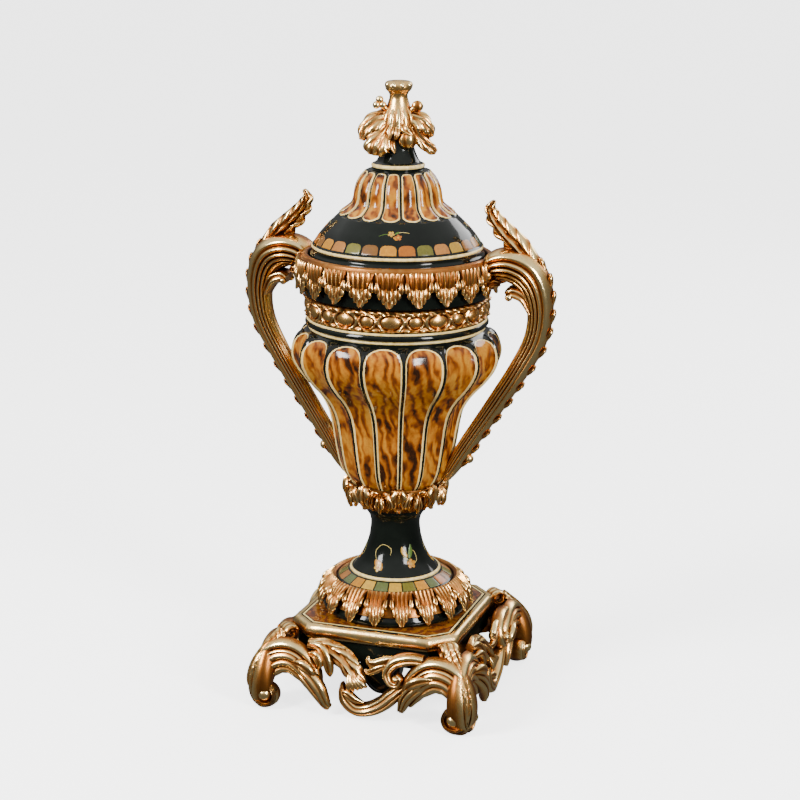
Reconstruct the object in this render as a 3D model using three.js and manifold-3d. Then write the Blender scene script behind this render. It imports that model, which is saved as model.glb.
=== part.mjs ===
// A tall covered mantel urn: lobed and lacquered body and lid, gilt scroll handles, collars, finial and base.
// Millimetres, +Z up. The origin is on the ground under the urn's axis. X runs along the handles, -Y is the front.
import * as THREE from 'three';
import { LoftGeometry } from 'three/addons/geometries/LoftGeometry.js';
import { mergeVertices } from 'three/addons/utils/BufferGeometryUtils.js';
import Module from 'manifold-3d';

const wasm = await Module();
wasm.setup();

// ---------------------------------------------------------------- driving dimensions

const GAP = 0.3; // left between pieces that touch

// Heights of the joints between the turned pieces
const BLOCK_BOTTOM = 46;
const MOULDING_BOTTOM = 64;
const PLINTH_TOP = 77.6;
const STEM_TOP = 176;
const FRIEZE_BOTTOM = 353.3;
const FRIEZE_TOP = 373;
const RIM_TOP = 406;
const NECK_TOP = 510;

// Plinth: a square block with cut corners
const BLOCK_HALF = 72;
const STEP_HALF = 74.5;
const CORNER_CUT = 17.2;
const MOULDING_OUT = 7.2;
const APRON = { centre: 11, radius: 19, bottom: 18, back: 60 };

// Repeats around the axis
const BOWL_LOBES = 16;
const LID_FLUTES = 16;
const RIM_LEAVES = 22;
const FOOT_LEAVES = 18;
const CALYX_DROPS = 8;
const FRIEZE_OVALS = 12;

// Crest outlines as [radius, height], smoothed by a spline, and how deep the grooves between the crests are
const BOWL_OUTLINE = [[79, 342], [86.5, 334], [89.6, 320], [83, 303.5], [68, 286], [58.7, 268], [54.7, 245],
  [49.5, 215], [39, 198], [29, 190]];
const BOWL_GROOVES = [0, 4.5, 6, 5, 4, 3.2, 2.6, 2, 1, 0];
const LID_OUTLINE = [[52.6, 443.2], [45.2, 450.2], [40, 457], [38.8, 465], [35, 475], [27, 483.5]];
const LID_GROOVES = [0, 1.8, 2.2, 2.2, 1.8, 0.6];

// Turned profiles as [radius, height]
const STEM_PROFILE = [[0, PLINTH_TOP + GAP], [64, PLINTH_TOP + GAP], [66.5, 80.5], [66.3, 83.5], [53.6, 105],
  [53.6, 106.8], [41, 114.5], [31, 127], [25, 141], [22.6, 156], [24.4, 166], [28, 171], [28, STEM_TOP],
  [0, STEM_TOP]];
const SHOULDER_PROFILE = [[0, 341], [79, 341], [82.2, 347.5], [81, FRIEZE_BOTTOM - GAP],
  [76.7, FRIEZE_BOTTOM - GAP], [76.7, FRIEZE_TOP + GAP], [84, 377], [84.7, 399], [79.5, RIM_TOP], [0, RIM_TOP]];
const BOWL_CAVITY = [[0, 197], [30, 203], [46, 235], [52, 264], [62, 286], [75, 312], [72, 345], [72, 420],
  [0, 420]];
const LID_CAVITY = [[0, 486], [18, 482], [31, 470], [34.5, 458], [42, 447], [58, 432], [67, 416], [69, 398],
  [0, 398]];
const NECK_PROFILE = [[0, 482], [24, 482], [24, 489.4], [15, 499], [12.5, NECK_TOP], [0, NECK_TOP]];

const RIM_LEAF_START = THREE.MathUtils.degToRad(14.3 - 180 / RIM_LEAVES); // puts a leaf at 14.3 degrees
const FINIAL_TURN = 18.5; // degrees the finial is turned to the front-right

const GILT = new THREE.MeshStandardMaterial({ color: '#b9824f', metalness: 0.85, roughness: 0.35 });
const LACQUER = new THREE.MeshStandardMaterial({ color: '#10130f', metalness: 0, roughness: 0.15 });
const INLAID = new THREE.MeshStandardMaterial({ color: '#9a5a1c', metalness: 0, roughness: 0.2 });

// ---------------------------------------------------------------- solids

/** A closed geometry as a manifold solid with its faces turned outwards. */
function solid(geometry) {
  const bare = new THREE.BufferGeometry().setAttribute('position', geometry.getAttribute('position'));
  if (geometry.index) bare.setIndex(geometry.index);
  const merged = mergeVertices(bare, 1e-4);
  const corners = merged.index.array;
  const faces = [];
  for (let i = 0; i < corners.length; i += 3) {
    const [a, b, c] = corners.slice(i, i + 3);
    if (a !== b && b !== c && c !== a) faces.push([a, b, c]);
  }
  const make = (list) => new wasm.Manifold(new wasm.Mesh({
    numProp: 3,
    vertProperties: new Float32Array(merged.getAttribute('position').array),
    triVerts: new Uint32Array(list.flat()),
  }));
  const made = make(faces);
  return made.volume() > 0 ? made : make(faces.map(([a, b, c]) => [a, c, b]));
}

const joined = (solids) => solids.reduce((all, next) => all.add(next));

/** A named mesh of a manifold solid. */
function piece(name, shape, material) {
  const { numProp, vertProperties, triVerts } = shape.getMesh();
  const places = new Float32Array((vertProperties.length / numProp) * 3);
  for (let i = 0; i * numProp < vertProperties.length; i++) {
    places.set(vertProperties.subarray(i * numProp, i * numProp + 3), i * 3);
  }
  const geometry = new THREE.BufferGeometry()
    .setAttribute('position', new THREE.BufferAttribute(places, 3))
    .setIndex(new THREE.BufferAttribute(triVerts, 1));
  geometry.computeVertexNormals();
  const mesh = new THREE.Mesh(geometry, material);
  mesh.name = name;
  return mesh;
}

/** A profile of [radius, height] that starts and ends on the axis, or closes on itself, turned about Z. */
function turned(profile, segments) {
  const points = profile.map(([r, z]) => new THREE.Vector2(r, z));
  return solid(new THREE.LatheGeometry(points, segments).rotateX(Math.PI / 2));
}

/** A point at a radius, a height and an angle from the front, in radians. */
const polar = (r, z, angle) => new THREE.Vector3(r * Math.sin(angle), -r * Math.cos(angle), z);

/** A ring of `count` equal units: profileAt(t) is its closed outline at t of the way through a unit. */
function ringOfUnits(count, offsets, profileAt, start = 0) {
  const sections = [];
  for (let unit = 0; unit < count; unit++) {
    for (const t of offsets) {
      const angle = start + ((unit + t) * 2 * Math.PI) / count;
      sections.push(profileAt(t).map(([r, z]) => polar(r, z, angle)));
    }
  }
  sections.push(sections[0]);
  return solid(new LoftGeometry(sections));
}

/** `rows` points and as many groove depths along a spline through an outline. */
function sampled(outline, grooves, rows) {
  const spline = new THREE.SplineCurve(outline.map(([r, z]) => new THREE.Vector2(r, z)));
  return Array.from({ length: rows }, (_, i) => {
    const place = (i / (rows - 1)) * (outline.length - 1);
    const at = Math.min(Math.floor(place), outline.length - 2);
    const { x, y } = spline.getPoint(i / (rows - 1));
    return [x, y, THREE.MathUtils.lerp(grooves[at], grooves[at + 1], place - at)];
  });
}

/** How far a round lobe's surface lies below its crest, from 0 at the middle to 1 at its grooves. */
const lobeDrop = (t) => 1 - Math.sqrt(1 - (2 * t - 1) ** 2);

/** Lobes around the axis between plain rings: `rows` are [radius, height, groove depth], from bottom to top. */
function lobed(count, offsets, rows) {
  const sections = rows.map(([r, z, groove]) => {
    const ring = [];
    for (let lobe = 0; lobe < count; lobe++) {
      for (const t of offsets) ring.push(polar(r - groove * lobeDrop(t), z, ((lobe + t) * 2 * Math.PI) / count));
    }
    return ring;
  });
  return solid(new LoftGeometry(sections, { capStart: true, capEnd: true }));
}

// Cross-sections as [across, outwards], each from -1 to 1, counter-clockwise
const RIDGED = [[1, -0.8], [0.55, 0.9], [0.05, 0.5], [-0.5, 1], [-1, -0.8]];
const BAR = [[1, 0], [0.45, 0.95], [-0.05, 0.7], [-0.5, 0.95], [-1, 0], [-0.5, -0.95], [-0.05, -0.7], [0.45, -0.95]];
const BLADE = [[1, 0.1], [0.4, 0.9], [-0.4, 0.9], [-1, 0.1], [0, -0.8]];
const BEAD = [[1, 0], [0.2, 0.9], [-1, 0.1], [0, -0.9]];

/**
 * A bar, band or leaf along a spline. Each stop is [x, y, z, half width, half thickness]; `face` is the
 * direction its front looks in, and `steps` the number of stretches between sections. The section is one
 * outline, or a function that gives the outline at each of them.
 */
function swept(stops, section, face, steps) {
  const curve = new THREE.CatmullRomCurve3(stops.map(([x, y, z]) => new THREE.Vector3(x, y, z)));
  const front = new THREE.Vector3(...face).normalize();
  const sections = [];
  for (let i = 0; i <= steps; i++) {
    const place = (i / steps) * (stops.length - 1);
    const at = Math.min(Math.floor(place), stops.length - 2);
    const [width, thickness] = [3, 4].map((k) => THREE.MathUtils.lerp(stops[at][k], stops[at + 1][k], place - at));
    const centre = curve.getPoint(i / steps);
    const along = curve.getTangent(i / steps);
    const across = new THREE.Vector3().crossVectors(front, along).normalize();
    const out = new THREE.Vector3().crossVectors(along, across);
    const outline = typeof section === 'function' ? section(i) : section;
    sections.push(outline.map(([a, b]) => centre.clone().addScaledVector(across, a * width)
      .addScaledVector(out, b * thickness)));
  }
  return solid(new LoftGeometry(sections, { capStart: true, capEnd: true }));
}

/** A ball, stretched by `scale` along its own axes. */
function ball(x, y, z, radius, scale = [1, 1, 1]) {
  return solid(new THREE.SphereGeometry(radius, 6, 4).scale(...scale).translate(x, y, z));
}

// ---------------------------------------------------------------- plinth

/** The outline of the plinth at a half side, as corners that run around it. */
function plinthOutline(half) {
  const cut = CORNER_CUT + (half - BLOCK_HALF) * (2 - Math.SQRT2);
  return [[half, cut - half], [half, half - cut], [half - cut, half], [cut - half, half],
    [-half, half - cut], [-half, cut - half], [cut - half, -half], [half - cut, -half]];
}

/** The block under the moulding, with a round apron hanging in the middle of each face. */
function plinthSolid(grow) {
  const rows = [[STEP_HALF + grow, BLOCK_BOTTOM - grow], [STEP_HALF + grow, MOULDING_BOTTOM - GAP],
    [BLOCK_HALF + grow, MOULDING_BOTTOM - GAP], [BLOCK_HALF + grow, PLINTH_TOP]];
  const block = solid(new LoftGeometry(
    rows.map(([half, z]) => plinthOutline(half).map(([x, y]) => new THREE.Vector3(x, y, z))),
    { capStart: true, capEnd: true },
  ));
  const lobe = new THREE.Shape().absellipse(APRON.centre, BLOCK_BOTTOM + 1, APRON.radius + grow,
    BLOCK_BOTTOM + 1 - APRON.bottom + grow, Math.PI, 2 * Math.PI).closePath();
  const depth = STEP_HALF + grow - APRON.back;
  const apron = solid(new THREE.ExtrudeGeometry(lobe, { depth, bevelEnabled: false, curveSegments: 6 })
    .rotateX(Math.PI / 2)
    .translate(0, -APRON.back, 0));
  const aprons = [0, 1, 2, 3].map((side) => apron.rotate([0, 0, 90 * side]));
  return joined([block, ...aprons]);
}

/** The half-round frame that holds the plinth's top. */
function plinthMoulding() {
  const middle = (MOULDING_BOTTOM + PLINTH_TOP) / 2;
  const radius = (PLINTH_TOP - MOULDING_BOTTOM) / 2;
  const profile = [[GAP, -radius], [2.5, -radius]];
  for (let i = 1; i <= 3; i++) {
    const angle = -Math.PI / 2 + (i * Math.PI) / 4;
    profile.push([2.5 + (MOULDING_OUT - 2.5) * Math.cos(angle), radius * Math.sin(angle)]);
  }
  profile.push([2.5, radius], [GAP, radius]);
  const sections = Array.from({ length: 8 }, (_, i) => profile.map(([out, up]) => {
    const [x, y] = plinthOutline(BLOCK_HALF + out)[i];
    return new THREE.Vector3(x, y, middle + up);
  }));
  sections.push(sections[0]);
  return solid(new LoftGeometry(sections));
}

// ---------------------------------------------------------------- scroll base

// On each face, stops are [along the face, out from the axis, height, half width, half thickness].
const LEFT_SCROLL = [[-36, -91, 5, 3, 4], [-42, -91, 20, 9, 7], [-49, -89, 37, 13, 8], [-64, -87, 47, 15.5, 8],
  [-81, -88, 46, 16, 8], [-94, -91, 34, 14, 9], [-101, -92, 19, 10.5, 10], [-97, -92, 6.5, 7, 10],
  [-89, -93, 11, 7, 12]];
const RIGHT_SCROLL = [[38, -91, 12, 4, 5], [42, -91, 28, 8, 7], [51, -89, 42, 13, 8], [66, -86, 48, 16, 8],
  [83, -87, 44, 15, 8], [95, -91, 33, 12, 9], [100.5, -92, 17, 10, 10], [95, -92, 6.5, 7, 10],
  [87, -93, 11, 7, 12]];
const CURL = [[56, -85, 56, 6, 6], [40, -85, 59, 6.5, 6], [26, -86, 54, 6, 6], [25, -88, 42, 5, 5]];
const LOW_SCROLL = [[-10, -92, 33, 5, 6], [-20, -92, 19, 7, 7], [-10, -92, 9, 8, 8], [6, -92, 10, 8, 8],
  [19, -91, 18, 7, 7], [30, -90, 30, 6.5, 7], [42, -90, 39, 5, 5]];
const FACE_LEAF = [[-56, -84, 55, 6, 6], [-30, -82, 55, 8, 6], [-14, -87, 47, 9.5, 7], [-5, -91, 32, 6, 7]];
const SIDE_DROP = [[-37, -84, 58, 4, 4], [-31, -89, 47, 5.5, 6], [-28, -91, 36, 4, 5]];
const CORNER_LEAF = [[75, -75, 74, 6, 5], [85, -85, 62, 8, 7], [94, -94, 46, 10, 7], [97, -97, 24, 9, 8],
  [95, -95, 8, 7, 8]];
const PAD = { near: 84, far: 118, half: 14, thickness: 7 }; // on each diagonal, carries the plinth's block
const FOOT = { at: 93, radius: 9, height: 6 }; // the flat underside of each foot

/** The ornament of one face, and of the corner at its right with its pad and foot. */
function baseFace() {
  const front = [0, -1, 0];
  const pad = new THREE.BoxGeometry(PAD.far - PAD.near, 2 * PAD.half, PAD.thickness)
    .translate((PAD.near + PAD.far) / 2, 0, BLOCK_BOTTOM - GAP - PAD.thickness / 2)
    .rotateZ(-Math.PI / 4);
  const foot = new THREE.CylinderGeometry(FOOT.radius, FOOT.radius, FOOT.height + 1, 8)
    .rotateX(Math.PI / 2)
    .translate(FOOT.at, -FOOT.at, (FOOT.height - 1) / 2);
  return joined([
    swept(LEFT_SCROLL, RIDGED, front, 8),
    swept(RIGHT_SCROLL, RIDGED, front, 8),
    swept(LOW_SCROLL, BEAD, front, 5),
    swept(FACE_LEAF, BLADE, front, 3),
    swept(SIDE_DROP, BEAD, front, 2),
    swept(CURL, BEAD, front, 3),
    swept(CORNER_LEAF, BLADE, [1, -1, 0.4], 3),
    solid(pad),
    solid(foot),
  ]);
}

function scrollBase() {
  const face = baseFace();
  const faces = [0, 1, 2, 3].map((side) => face.rotate([0, 0, 90 * side]));
  const ground = solid(new THREE.BoxGeometry(400, 400, 40).translate(0, 0, -20));
  return joined(faces).subtract(plinthSolid(GAP)).subtract(ground);
}

// ---------------------------------------------------------------- turned body

const stem = () => turned(STEM_PROFILE, 18);

/** The hollow bowl, from its joint with the stem to the rim that the lid rests on. */
function bowl() {
  const lobes = sampled(BOWL_OUTLINE, BOWL_GROOVES, 8).reverse();
  const body = lobed(BOWL_LOBES, [0, 0.3, 0.7], [[27, STEM_TOP + GAP, 0], ...lobes]);
  return body.add(turned(SHOULDER_PROFILE, 24)).subtract(turned(BOWL_CAVITY, 12));
}

/** The gilt collar of overlapping leaves around the stem's foot. */
function footCollar() {
  return ringOfUnits(FOOT_LEAVES, [0, 0.5], (t) => {
    const leaf = t === 0 ? 0 : 1;
    return [[54.4, 105.2], [55.6, 107.6], [64 + leaf, 102], [66 + 2.5 * leaf, 94], [67.8 + 1.4 * leaf, 89 - 7 * leaf],
      [67.4, 88 - 5 * leaf]];
  });
}

/** The gilt collar of drops and leaves between the bowl and the stem. */
function calyxCollar() {
  return ringOfUnits(CALYX_DROPS, [0, 0.2, 0.5, 0.8], (t) => {
    const drop = t === 0 ? 1 : 0;
    const leaf = t === 0.5 ? 1 : 0;
    return [[31.3, 189.5], [42.3 + 1.6 * leaf, 200 + 3 * leaf], [44 + drop, 194], [38 + 6 * drop, 184 - 2 * drop],
      [31 + 7 * drop, 175.5], [28.6, 174]];
  });
}

/** The gilt frieze between the black torus and the ovolo, with a row of large and small bosses. */
function friezeBand() {
  const ground = 80.6;
  const smallBoss = 3.2;
  const largeBoss = 4;
  const bosses = { 0: smallBoss, 0.5: largeBoss };
  return ringOfUnits(FRIEZE_OVALS, [0, 0.22, 0.5, 0.78], (t) => [[77, FRIEZE_BOTTOM], [82.8, FRIEZE_BOTTOM],
    [ground, 357.2], [ground + (bosses[t] ?? 0), 362.5], [ground, 368.2], [83.2, FRIEZE_TOP], [77, FRIEZE_TOP]]);
}

/** The gilt collar of hanging leaves around the rim, which also rings the lid's seat. */
function rimCollar() {
  return ringOfUnits(RIM_LEAVES, [0, 0.5], (t) => {
    const leaf = t === 0 ? 0 : 1;
    return [[79.3, 406.6], [80.5, 410.3], [87, 406.5], [88.6 + 1.8 * leaf, 398.5],
      [86.8 + 1.6 * leaf, 388.5 - 6 * leaf], [85.3, 388 - 10 * leaf], [85.3, 404]];
  }, RIM_LEAF_START);
}

// ---------------------------------------------------------------- handles

// A handle in its own plane: stops are [out from the axis, 0, height, half width, half thickness].
const HANDLE_BAR = [[84, 0, 397, 9, 15], [92, 0, 404, 14, 20], [106, 0, 406, 16, 21], [121, 0, 400, 17, 19],
  [130, 0, 384, 14.5, 15], [133, 0, 362, 11.5, 11], [128.5, 0, 338, 10.5, 9.5], [114, 0, 311, 9.5, 9],
  [98, 0, 285, 9, 8.5], [82, 0, 260, 8.5, 8], [66, 0, 236, 8, 8], [53, 0, 218, 7.5, 8], [43, 0, 203, 5, 6]];
const HANDLE_LEAF = [[122, 0, 412, 10, 8], [109, 0, 424, 11, 8], [97, 0, 435, 10, 6.5], [88.5, 0, 447, 8, 5],
  [86, 0, 455, 5.5, 4], [89, 0, 461, 1.5, 1.5]];
const HANDLE_TIP = [[124, 0, 366, 4, 10], [118, 0, 377, 5, 12], [110, 0, 381, 6, 12], [103, 0, 379, 5.5, 12]];
const HANDLE_HOOK = [[93, 0, 391, 5, 12], [87, 0, 386, 5.5, 11], [80, 0, 380, 4, 7]];
const HANDLE_DROP = [69.5, 0, 225, 5];
const HANDLE_STEPS = 18;
const OUTER_EDGE = 1;
const TOOTH_REACH = 1.18;

/** The bar's section: every other one has a raised leaf tooth on its outer edge. */
function toothed(i) {
  const reach = i % 2 ? TOOTH_REACH : 1;
  return BAR.map(([across, out]) => (across === OUTER_EDGE ? [reach * across, out] : [across, out]));
}

/** The room that the body and its collars take, which the handles are cut clear of. */
function bodyEnvelope() {
  const grow = 4 * GAP; // this has fewer sides than what it clears
  return turned([[0, 160], [30 + grow, 172], [44.5 + grow, 181], [44.5 + grow, 198], [50 + grow, 210],
    [55.2 + grow, 240], [59.5 + grow, 268], [68.8 + grow, 285.5], [84 + grow, 303], [90.2 + grow, 320],
    [87.5 + grow, 334], [83.8 + grow, 344], [84.8 + grow, 356], [84.8 + grow, 372], [89.6 + grow, 378],
    [90.5 + grow, 400], [88 + grow, 407.5], [81 + grow, 412], [76 + grow, 420], [0, 420]], 24);
}

function handle() {
  const side = [0, -1, 0];
  return joined([
    swept(HANDLE_BAR, toothed, side, HANDLE_STEPS),
    swept(HANDLE_LEAF, BLADE, side, 5),
    swept(HANDLE_TIP, BEAD, side, 3),
    swept(HANDLE_HOOK, BEAD, side, 2),
    ball(...HANDLE_DROP),
  ]).subtract(bodyEnvelope());
}

// ---------------------------------------------------------------- lid and finial

/** The lid: an edge that sits inside the rim collar, a plain dome, a fluted bell and a neck, hollow below. */
function lid() {
  const edge = [[78.2, RIM_TOP + GAP, 0], [78.2, 412.5, 0]];
  const dome = [[75.8, 416.3, 0], [66.5, 430.2, 0]];
  const bell = sampled(LID_OUTLINE, LID_GROOVES, 5);
  const body = lobed(LID_FLUTES, [0, 0.35, 0.65], [...edge, ...dome, ...bell]);
  return body.add(turned(NECK_PROFILE, 16)).subtract(turned(LID_CAVITY, 12));
}

// The finial's own frame faces the front-right. A leaf has the direction its face looks in, and its stops are
// [to the right, back, height, half width, half thickness].
const FINIAL_LEAVES = [
  { face: [-0.5, -0.8, 0.5], stops: [[-6, -3, 528, 6, 3], [-18, -6, 527, 8, 3], [-28, -7, 520, 7, 3],
    [-32, -8, 510, 3, 2]] },
  { face: [-0.3, -1, 0.1], stops: [[-7, -7, 524, 4, 3], [-14, -13, 514, 8, 4], [-19, -15, 505, 11, 5],
    [-20, -15, 498, 8, 3]] },
  { face: [0.4, -0.8, 0.6], stops: [[6, -4, 530, 6, 3], [18, -6, 527, 8, 3], [26, -5, 520, 6, 3],
    [29, -4, 513, 3, 2]] },
  { face: [0.5, -0.8, 0.4], stops: [[10, -7, 524, 4, 3], [19, -9, 512, 5, 3.5], [28, -8, 503, 4.5, 3.5],
    [33, -7, 500, 3, 2.5]] },
  { face: [-0.4, 0.5, 0.7], stops: [[-4, 4, 530, 6, 3], [-12, 15, 529, 8, 3], [-17, 23, 521, 7, 3],
    [-19, 27, 508, 3, 2]] },
  { face: [0.4, 0.5, 0.7], stops: [[4, 4, 530, 6, 3], [13, 14, 529, 8, 3], [19, 21, 521, 7, 3],
    [21, 25, 509, 3, 2]] },
  { face: [0, 1, 0.3], stops: [[0, 5, 524, 5, 3], [1, 15, 514, 8, 4], [0, 19, 505, 9, 4], [0, 20, 498, 6, 3]] },
];
const FINIAL_BULB = [8, -13, 511, 9];
const FINIAL_ROSETTE = [-16, -4, 542, 6];
const FINIAL_BUD = [16, -4, 539, 5.5];

function finial() {
  const stalk = turned([[0, NECK_TOP + GAP], [13, NECK_TOP + GAP], [16, 522], [13, 534], [8.4, 547], [8.4, 550],
    [12, 554.5], [11, 560], [0, 562]], 10);
  const stalkTo = ([x, y, z]) => swept([[x * 0.4, y * 0.4, z - 11, 3, 3], [x * 0.75, y, z, 2.5, 2.5],
    [x, y, z, 2, 2]], BEAD, [0, -1, 0.2], 2);
  const neckRoom = turned([[0, 483], [25, 483], [25, 490], [16, 499.5], [13.3, NECK_TOP], [13.3, NECK_TOP + GAP / 2],
    [0, NECK_TOP + GAP / 2]], 16);
  return joined([
    stalk,
    ...FINIAL_LEAVES.map(({ face, stops }) => swept(stops, BLADE, face, 3)),
    ball(...FINIAL_BULB),
    ball(...FINIAL_ROSETTE),
    ball(...FINIAL_BUD),
    stalkTo(FINIAL_ROSETTE),
    stalkTo(FINIAL_BUD),
  ]).subtract(neckRoom);
}

// ---------------------------------------------------------------- assembly

const urn = new THREE.Group();
urn.add(
  piece('scroll_base', scrollBase(), GILT),
  piece('plinth', plinthSolid(0), INLAID),
  piece('plinth_moulding', plinthMoulding(), GILT),
  piece('stem', stem(), LACQUER),
  piece('foot_collar', footCollar(), GILT),
  piece('calyx_collar', calyxCollar(), GILT),
  piece('bowl', bowl(), INLAID),
  piece('frieze_band', friezeBand(), GILT),
  piece('rim_collar', rimCollar(), GILT),
);

const rightHandle = piece('handle_right', handle(), GILT);
const leftHandle = piece('handle_left', handle(), GILT);
leftHandle.rotation.z = Math.PI;
urn.add(rightHandle, leftHandle);

const cover = new THREE.Group();
const top = piece('finial', finial(), GILT);
top.rotation.z = THREE.MathUtils.degToRad(FINIAL_TURN);
cover.add(piece('lid', lid(), INLAID), top);
urn.add(cover);

export default urn;
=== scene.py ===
"""A covered mantel urn: lacquer, burl marquetry and gilt mounts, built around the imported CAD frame.

Shapes are worked out in millimetres and become metres when a piece is made. +Z is up, the front is -Y.
"""
import math

import bmesh
import bpy
import numpy as np
from mathutils import Matrix, Vector


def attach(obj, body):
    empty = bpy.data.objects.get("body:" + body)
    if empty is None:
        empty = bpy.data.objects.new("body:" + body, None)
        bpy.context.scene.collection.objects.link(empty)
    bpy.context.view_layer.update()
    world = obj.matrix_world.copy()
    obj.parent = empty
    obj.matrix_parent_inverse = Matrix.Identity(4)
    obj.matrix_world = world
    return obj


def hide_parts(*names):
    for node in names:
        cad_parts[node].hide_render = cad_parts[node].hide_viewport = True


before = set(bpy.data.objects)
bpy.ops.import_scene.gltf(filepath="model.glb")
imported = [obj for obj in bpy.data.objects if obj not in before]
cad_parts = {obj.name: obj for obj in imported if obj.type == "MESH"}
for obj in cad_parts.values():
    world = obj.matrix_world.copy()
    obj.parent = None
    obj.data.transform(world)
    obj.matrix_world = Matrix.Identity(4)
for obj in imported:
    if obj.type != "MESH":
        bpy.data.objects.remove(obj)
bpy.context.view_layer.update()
MM = 0.001
rng = np.random.default_rng(12)


# ---- paths and grids

def spline(stops, count):
    """`count` rows along a Catmull-Rom spline through the rows of `stops`."""
    rows = np.asarray(stops, float)
    ends = np.vstack([2 * rows[0] - rows[1], rows, 2 * rows[-1] - rows[-2]])
    place = np.linspace(0, len(rows) - 1, count)
    i = np.minimum(place.astype(int), len(rows) - 2)
    f = (place - i)[:, None]
    a, b, c, d = ends[i], ends[i + 1], ends[i + 2], ends[i + 3]
    square, cube = 2 * a - 5 * b + 4 * c - d, 3 * b - a - 3 * c + d
    return 0.5 * (2 * b + (c - a) * f + square * f ** 2 + cube * f ** 3)


def smooth(x):
    x = np.clip(x, 0, 1)
    return x * x * (3 - 2 * x)


def unit(vectors):
    return vectors / np.maximum(np.linalg.norm(vectors, axis=-1, keepdims=True), 1e-9)


def axes_along(points, face, sideways=None):
    """The directions along, across and out of a band.

    Its front looks along `face`; with `sideways`, that is the direction across instead.
    """
    along = unit(np.gradient(points, axis=0))
    if sideways is None:
        across = unit(np.cross(np.asarray(face, float), along))
    else:
        across = np.broadcast_to(unit(np.asarray(sideways, float)), along.shape)
    return along, across, np.cross(along, across)


def turn(points, degrees):
    a = math.radians(degrees)
    c, s = math.cos(a), math.sin(a)
    return points @ np.array([[c, s, 0], [-s, c, 0], [0, 0, 1]])


def about_axis(radius, angle, height):
    """Points at a radius, an angle from the front and a height."""
    radius, angle, height = np.broadcast_arrays(radius, angle, height)
    return np.stack([radius * np.sin(angle), -radius * np.cos(angle), height], axis=-1)


def arc_lengths(rows):
    return np.concatenate([[0], np.cumsum(np.linalg.norm(np.diff(rows, axis=0), axis=1))])


def closed(front, rear):
    """Rows of a section's front and, back the other way, of its rear without the ends."""
    return np.concatenate([front, rear[:, -2:0:-1]], axis=1)


def bell(x, width):
    return np.exp(-(x / width) ** 2)


def normals(profile):
    """The directions off a profile of [radius, height], to the right of the way it runs."""
    tangent = unit(np.gradient(profile, axis=0))
    return np.stack([tangent[:, 1], -tangent[:, 0]], axis=1)


def swept(path, across, out, a, b):
    """Sections a (across) and b (outwards), in half widths and half thicknesses, along a path of stops."""
    return (path[:, None, :3] + across[:, None] * a[..., None] * path[:, 3, None, None]
            + out[:, None] * b[..., None] * path[:, 4, None, None])


class Shell:
    """Closed grids of points, with one number for each point: how deep in a recess it lies. The gilt turns
    this number into painted shade.
    """

    def __init__(self):
        self.points, self.recess, self.faces, self.size = [], [], [], 0

    def put(self, points, recess, faces):
        self.points.append(points.reshape(-1, 3))
        self.recess.append(np.broadcast_to(recess, points.shape[:-1]).reshape(-1))
        self.faces.extend(tuple(k + self.size for k in face) for face in faces)
        self.size += len(self.points[-1])

    def loop_grid(self, points, recess):
        """Rings of points, one after the other, closed at both ends by a fan to their middle."""
        rows, cols = points.shape[:2]
        ends = np.stack([points[0].mean(0), points[-1].mean(0)])
        faces = [(i * cols + j, i * cols + (j + 1) % cols, (i + 1) * cols + (j + 1) % cols,
                  (i + 1) * cols + j) for i in range(rows - 1) for j in range(cols)]
        first, last = rows * cols, rows * cols + 1
        faces += [(first, (j + 1) % cols, j) for j in range(cols)]
        faces += [(last, (rows - 1) * cols + j, (rows - 1) * cols + (j + 1) % cols) for j in range(cols)]
        recess = np.broadcast_to(recess, (rows, cols)).reshape(-1)
        self.put(np.vstack([points.reshape(-1, 3), ends]), np.append(recess, [0.5, 0.5]), faces)

    def wrapped_grid(self, points, recess):
        """Rings of points that also close from the last ring to the first."""
        rows, cols = points.shape[:2]
        faces = [(i * cols + j, i * cols + (j + 1) % cols, (i + 1) % rows * cols + (j + 1) % cols,
                  (i + 1) % rows * cols + j) for i in range(rows) for j in range(cols)]
        self.put(points, np.broadcast_to(recess, (rows, cols)), faces)

    def copies(self, other, places):
        """Another shell, once for each function in `places`."""
        points, recess = np.vstack(other.points), np.concatenate(other.recess)
        for place in places:
            self.put(place(points), recess, other.faces)
        return self

    def around(self, other, count, start=0.0):
        """A shell `count` times about Z, from an angle in degrees."""
        return self.copies(other, [lambda p, a=start + 360 * k / count: turn(p, a) for k in range(count)])


def ribs(u, valleys, sharp=0.6):
    """Round ribs across u, from 0 in each valley to 1 on each crest."""
    valleys = np.asarray(valleys, float)
    i = np.clip(np.searchsorted(valleys, u, side="right") - 1, 0, len(valleys) - 2)
    f = np.clip((u - valleys[i]) / (valleys[i + 1] - valleys[i]), 0, 1)
    return np.sin(np.pi * f) ** sharp


BACK = 0.9  # how far a scroll reaches behind its path, in half thicknesses


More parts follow.
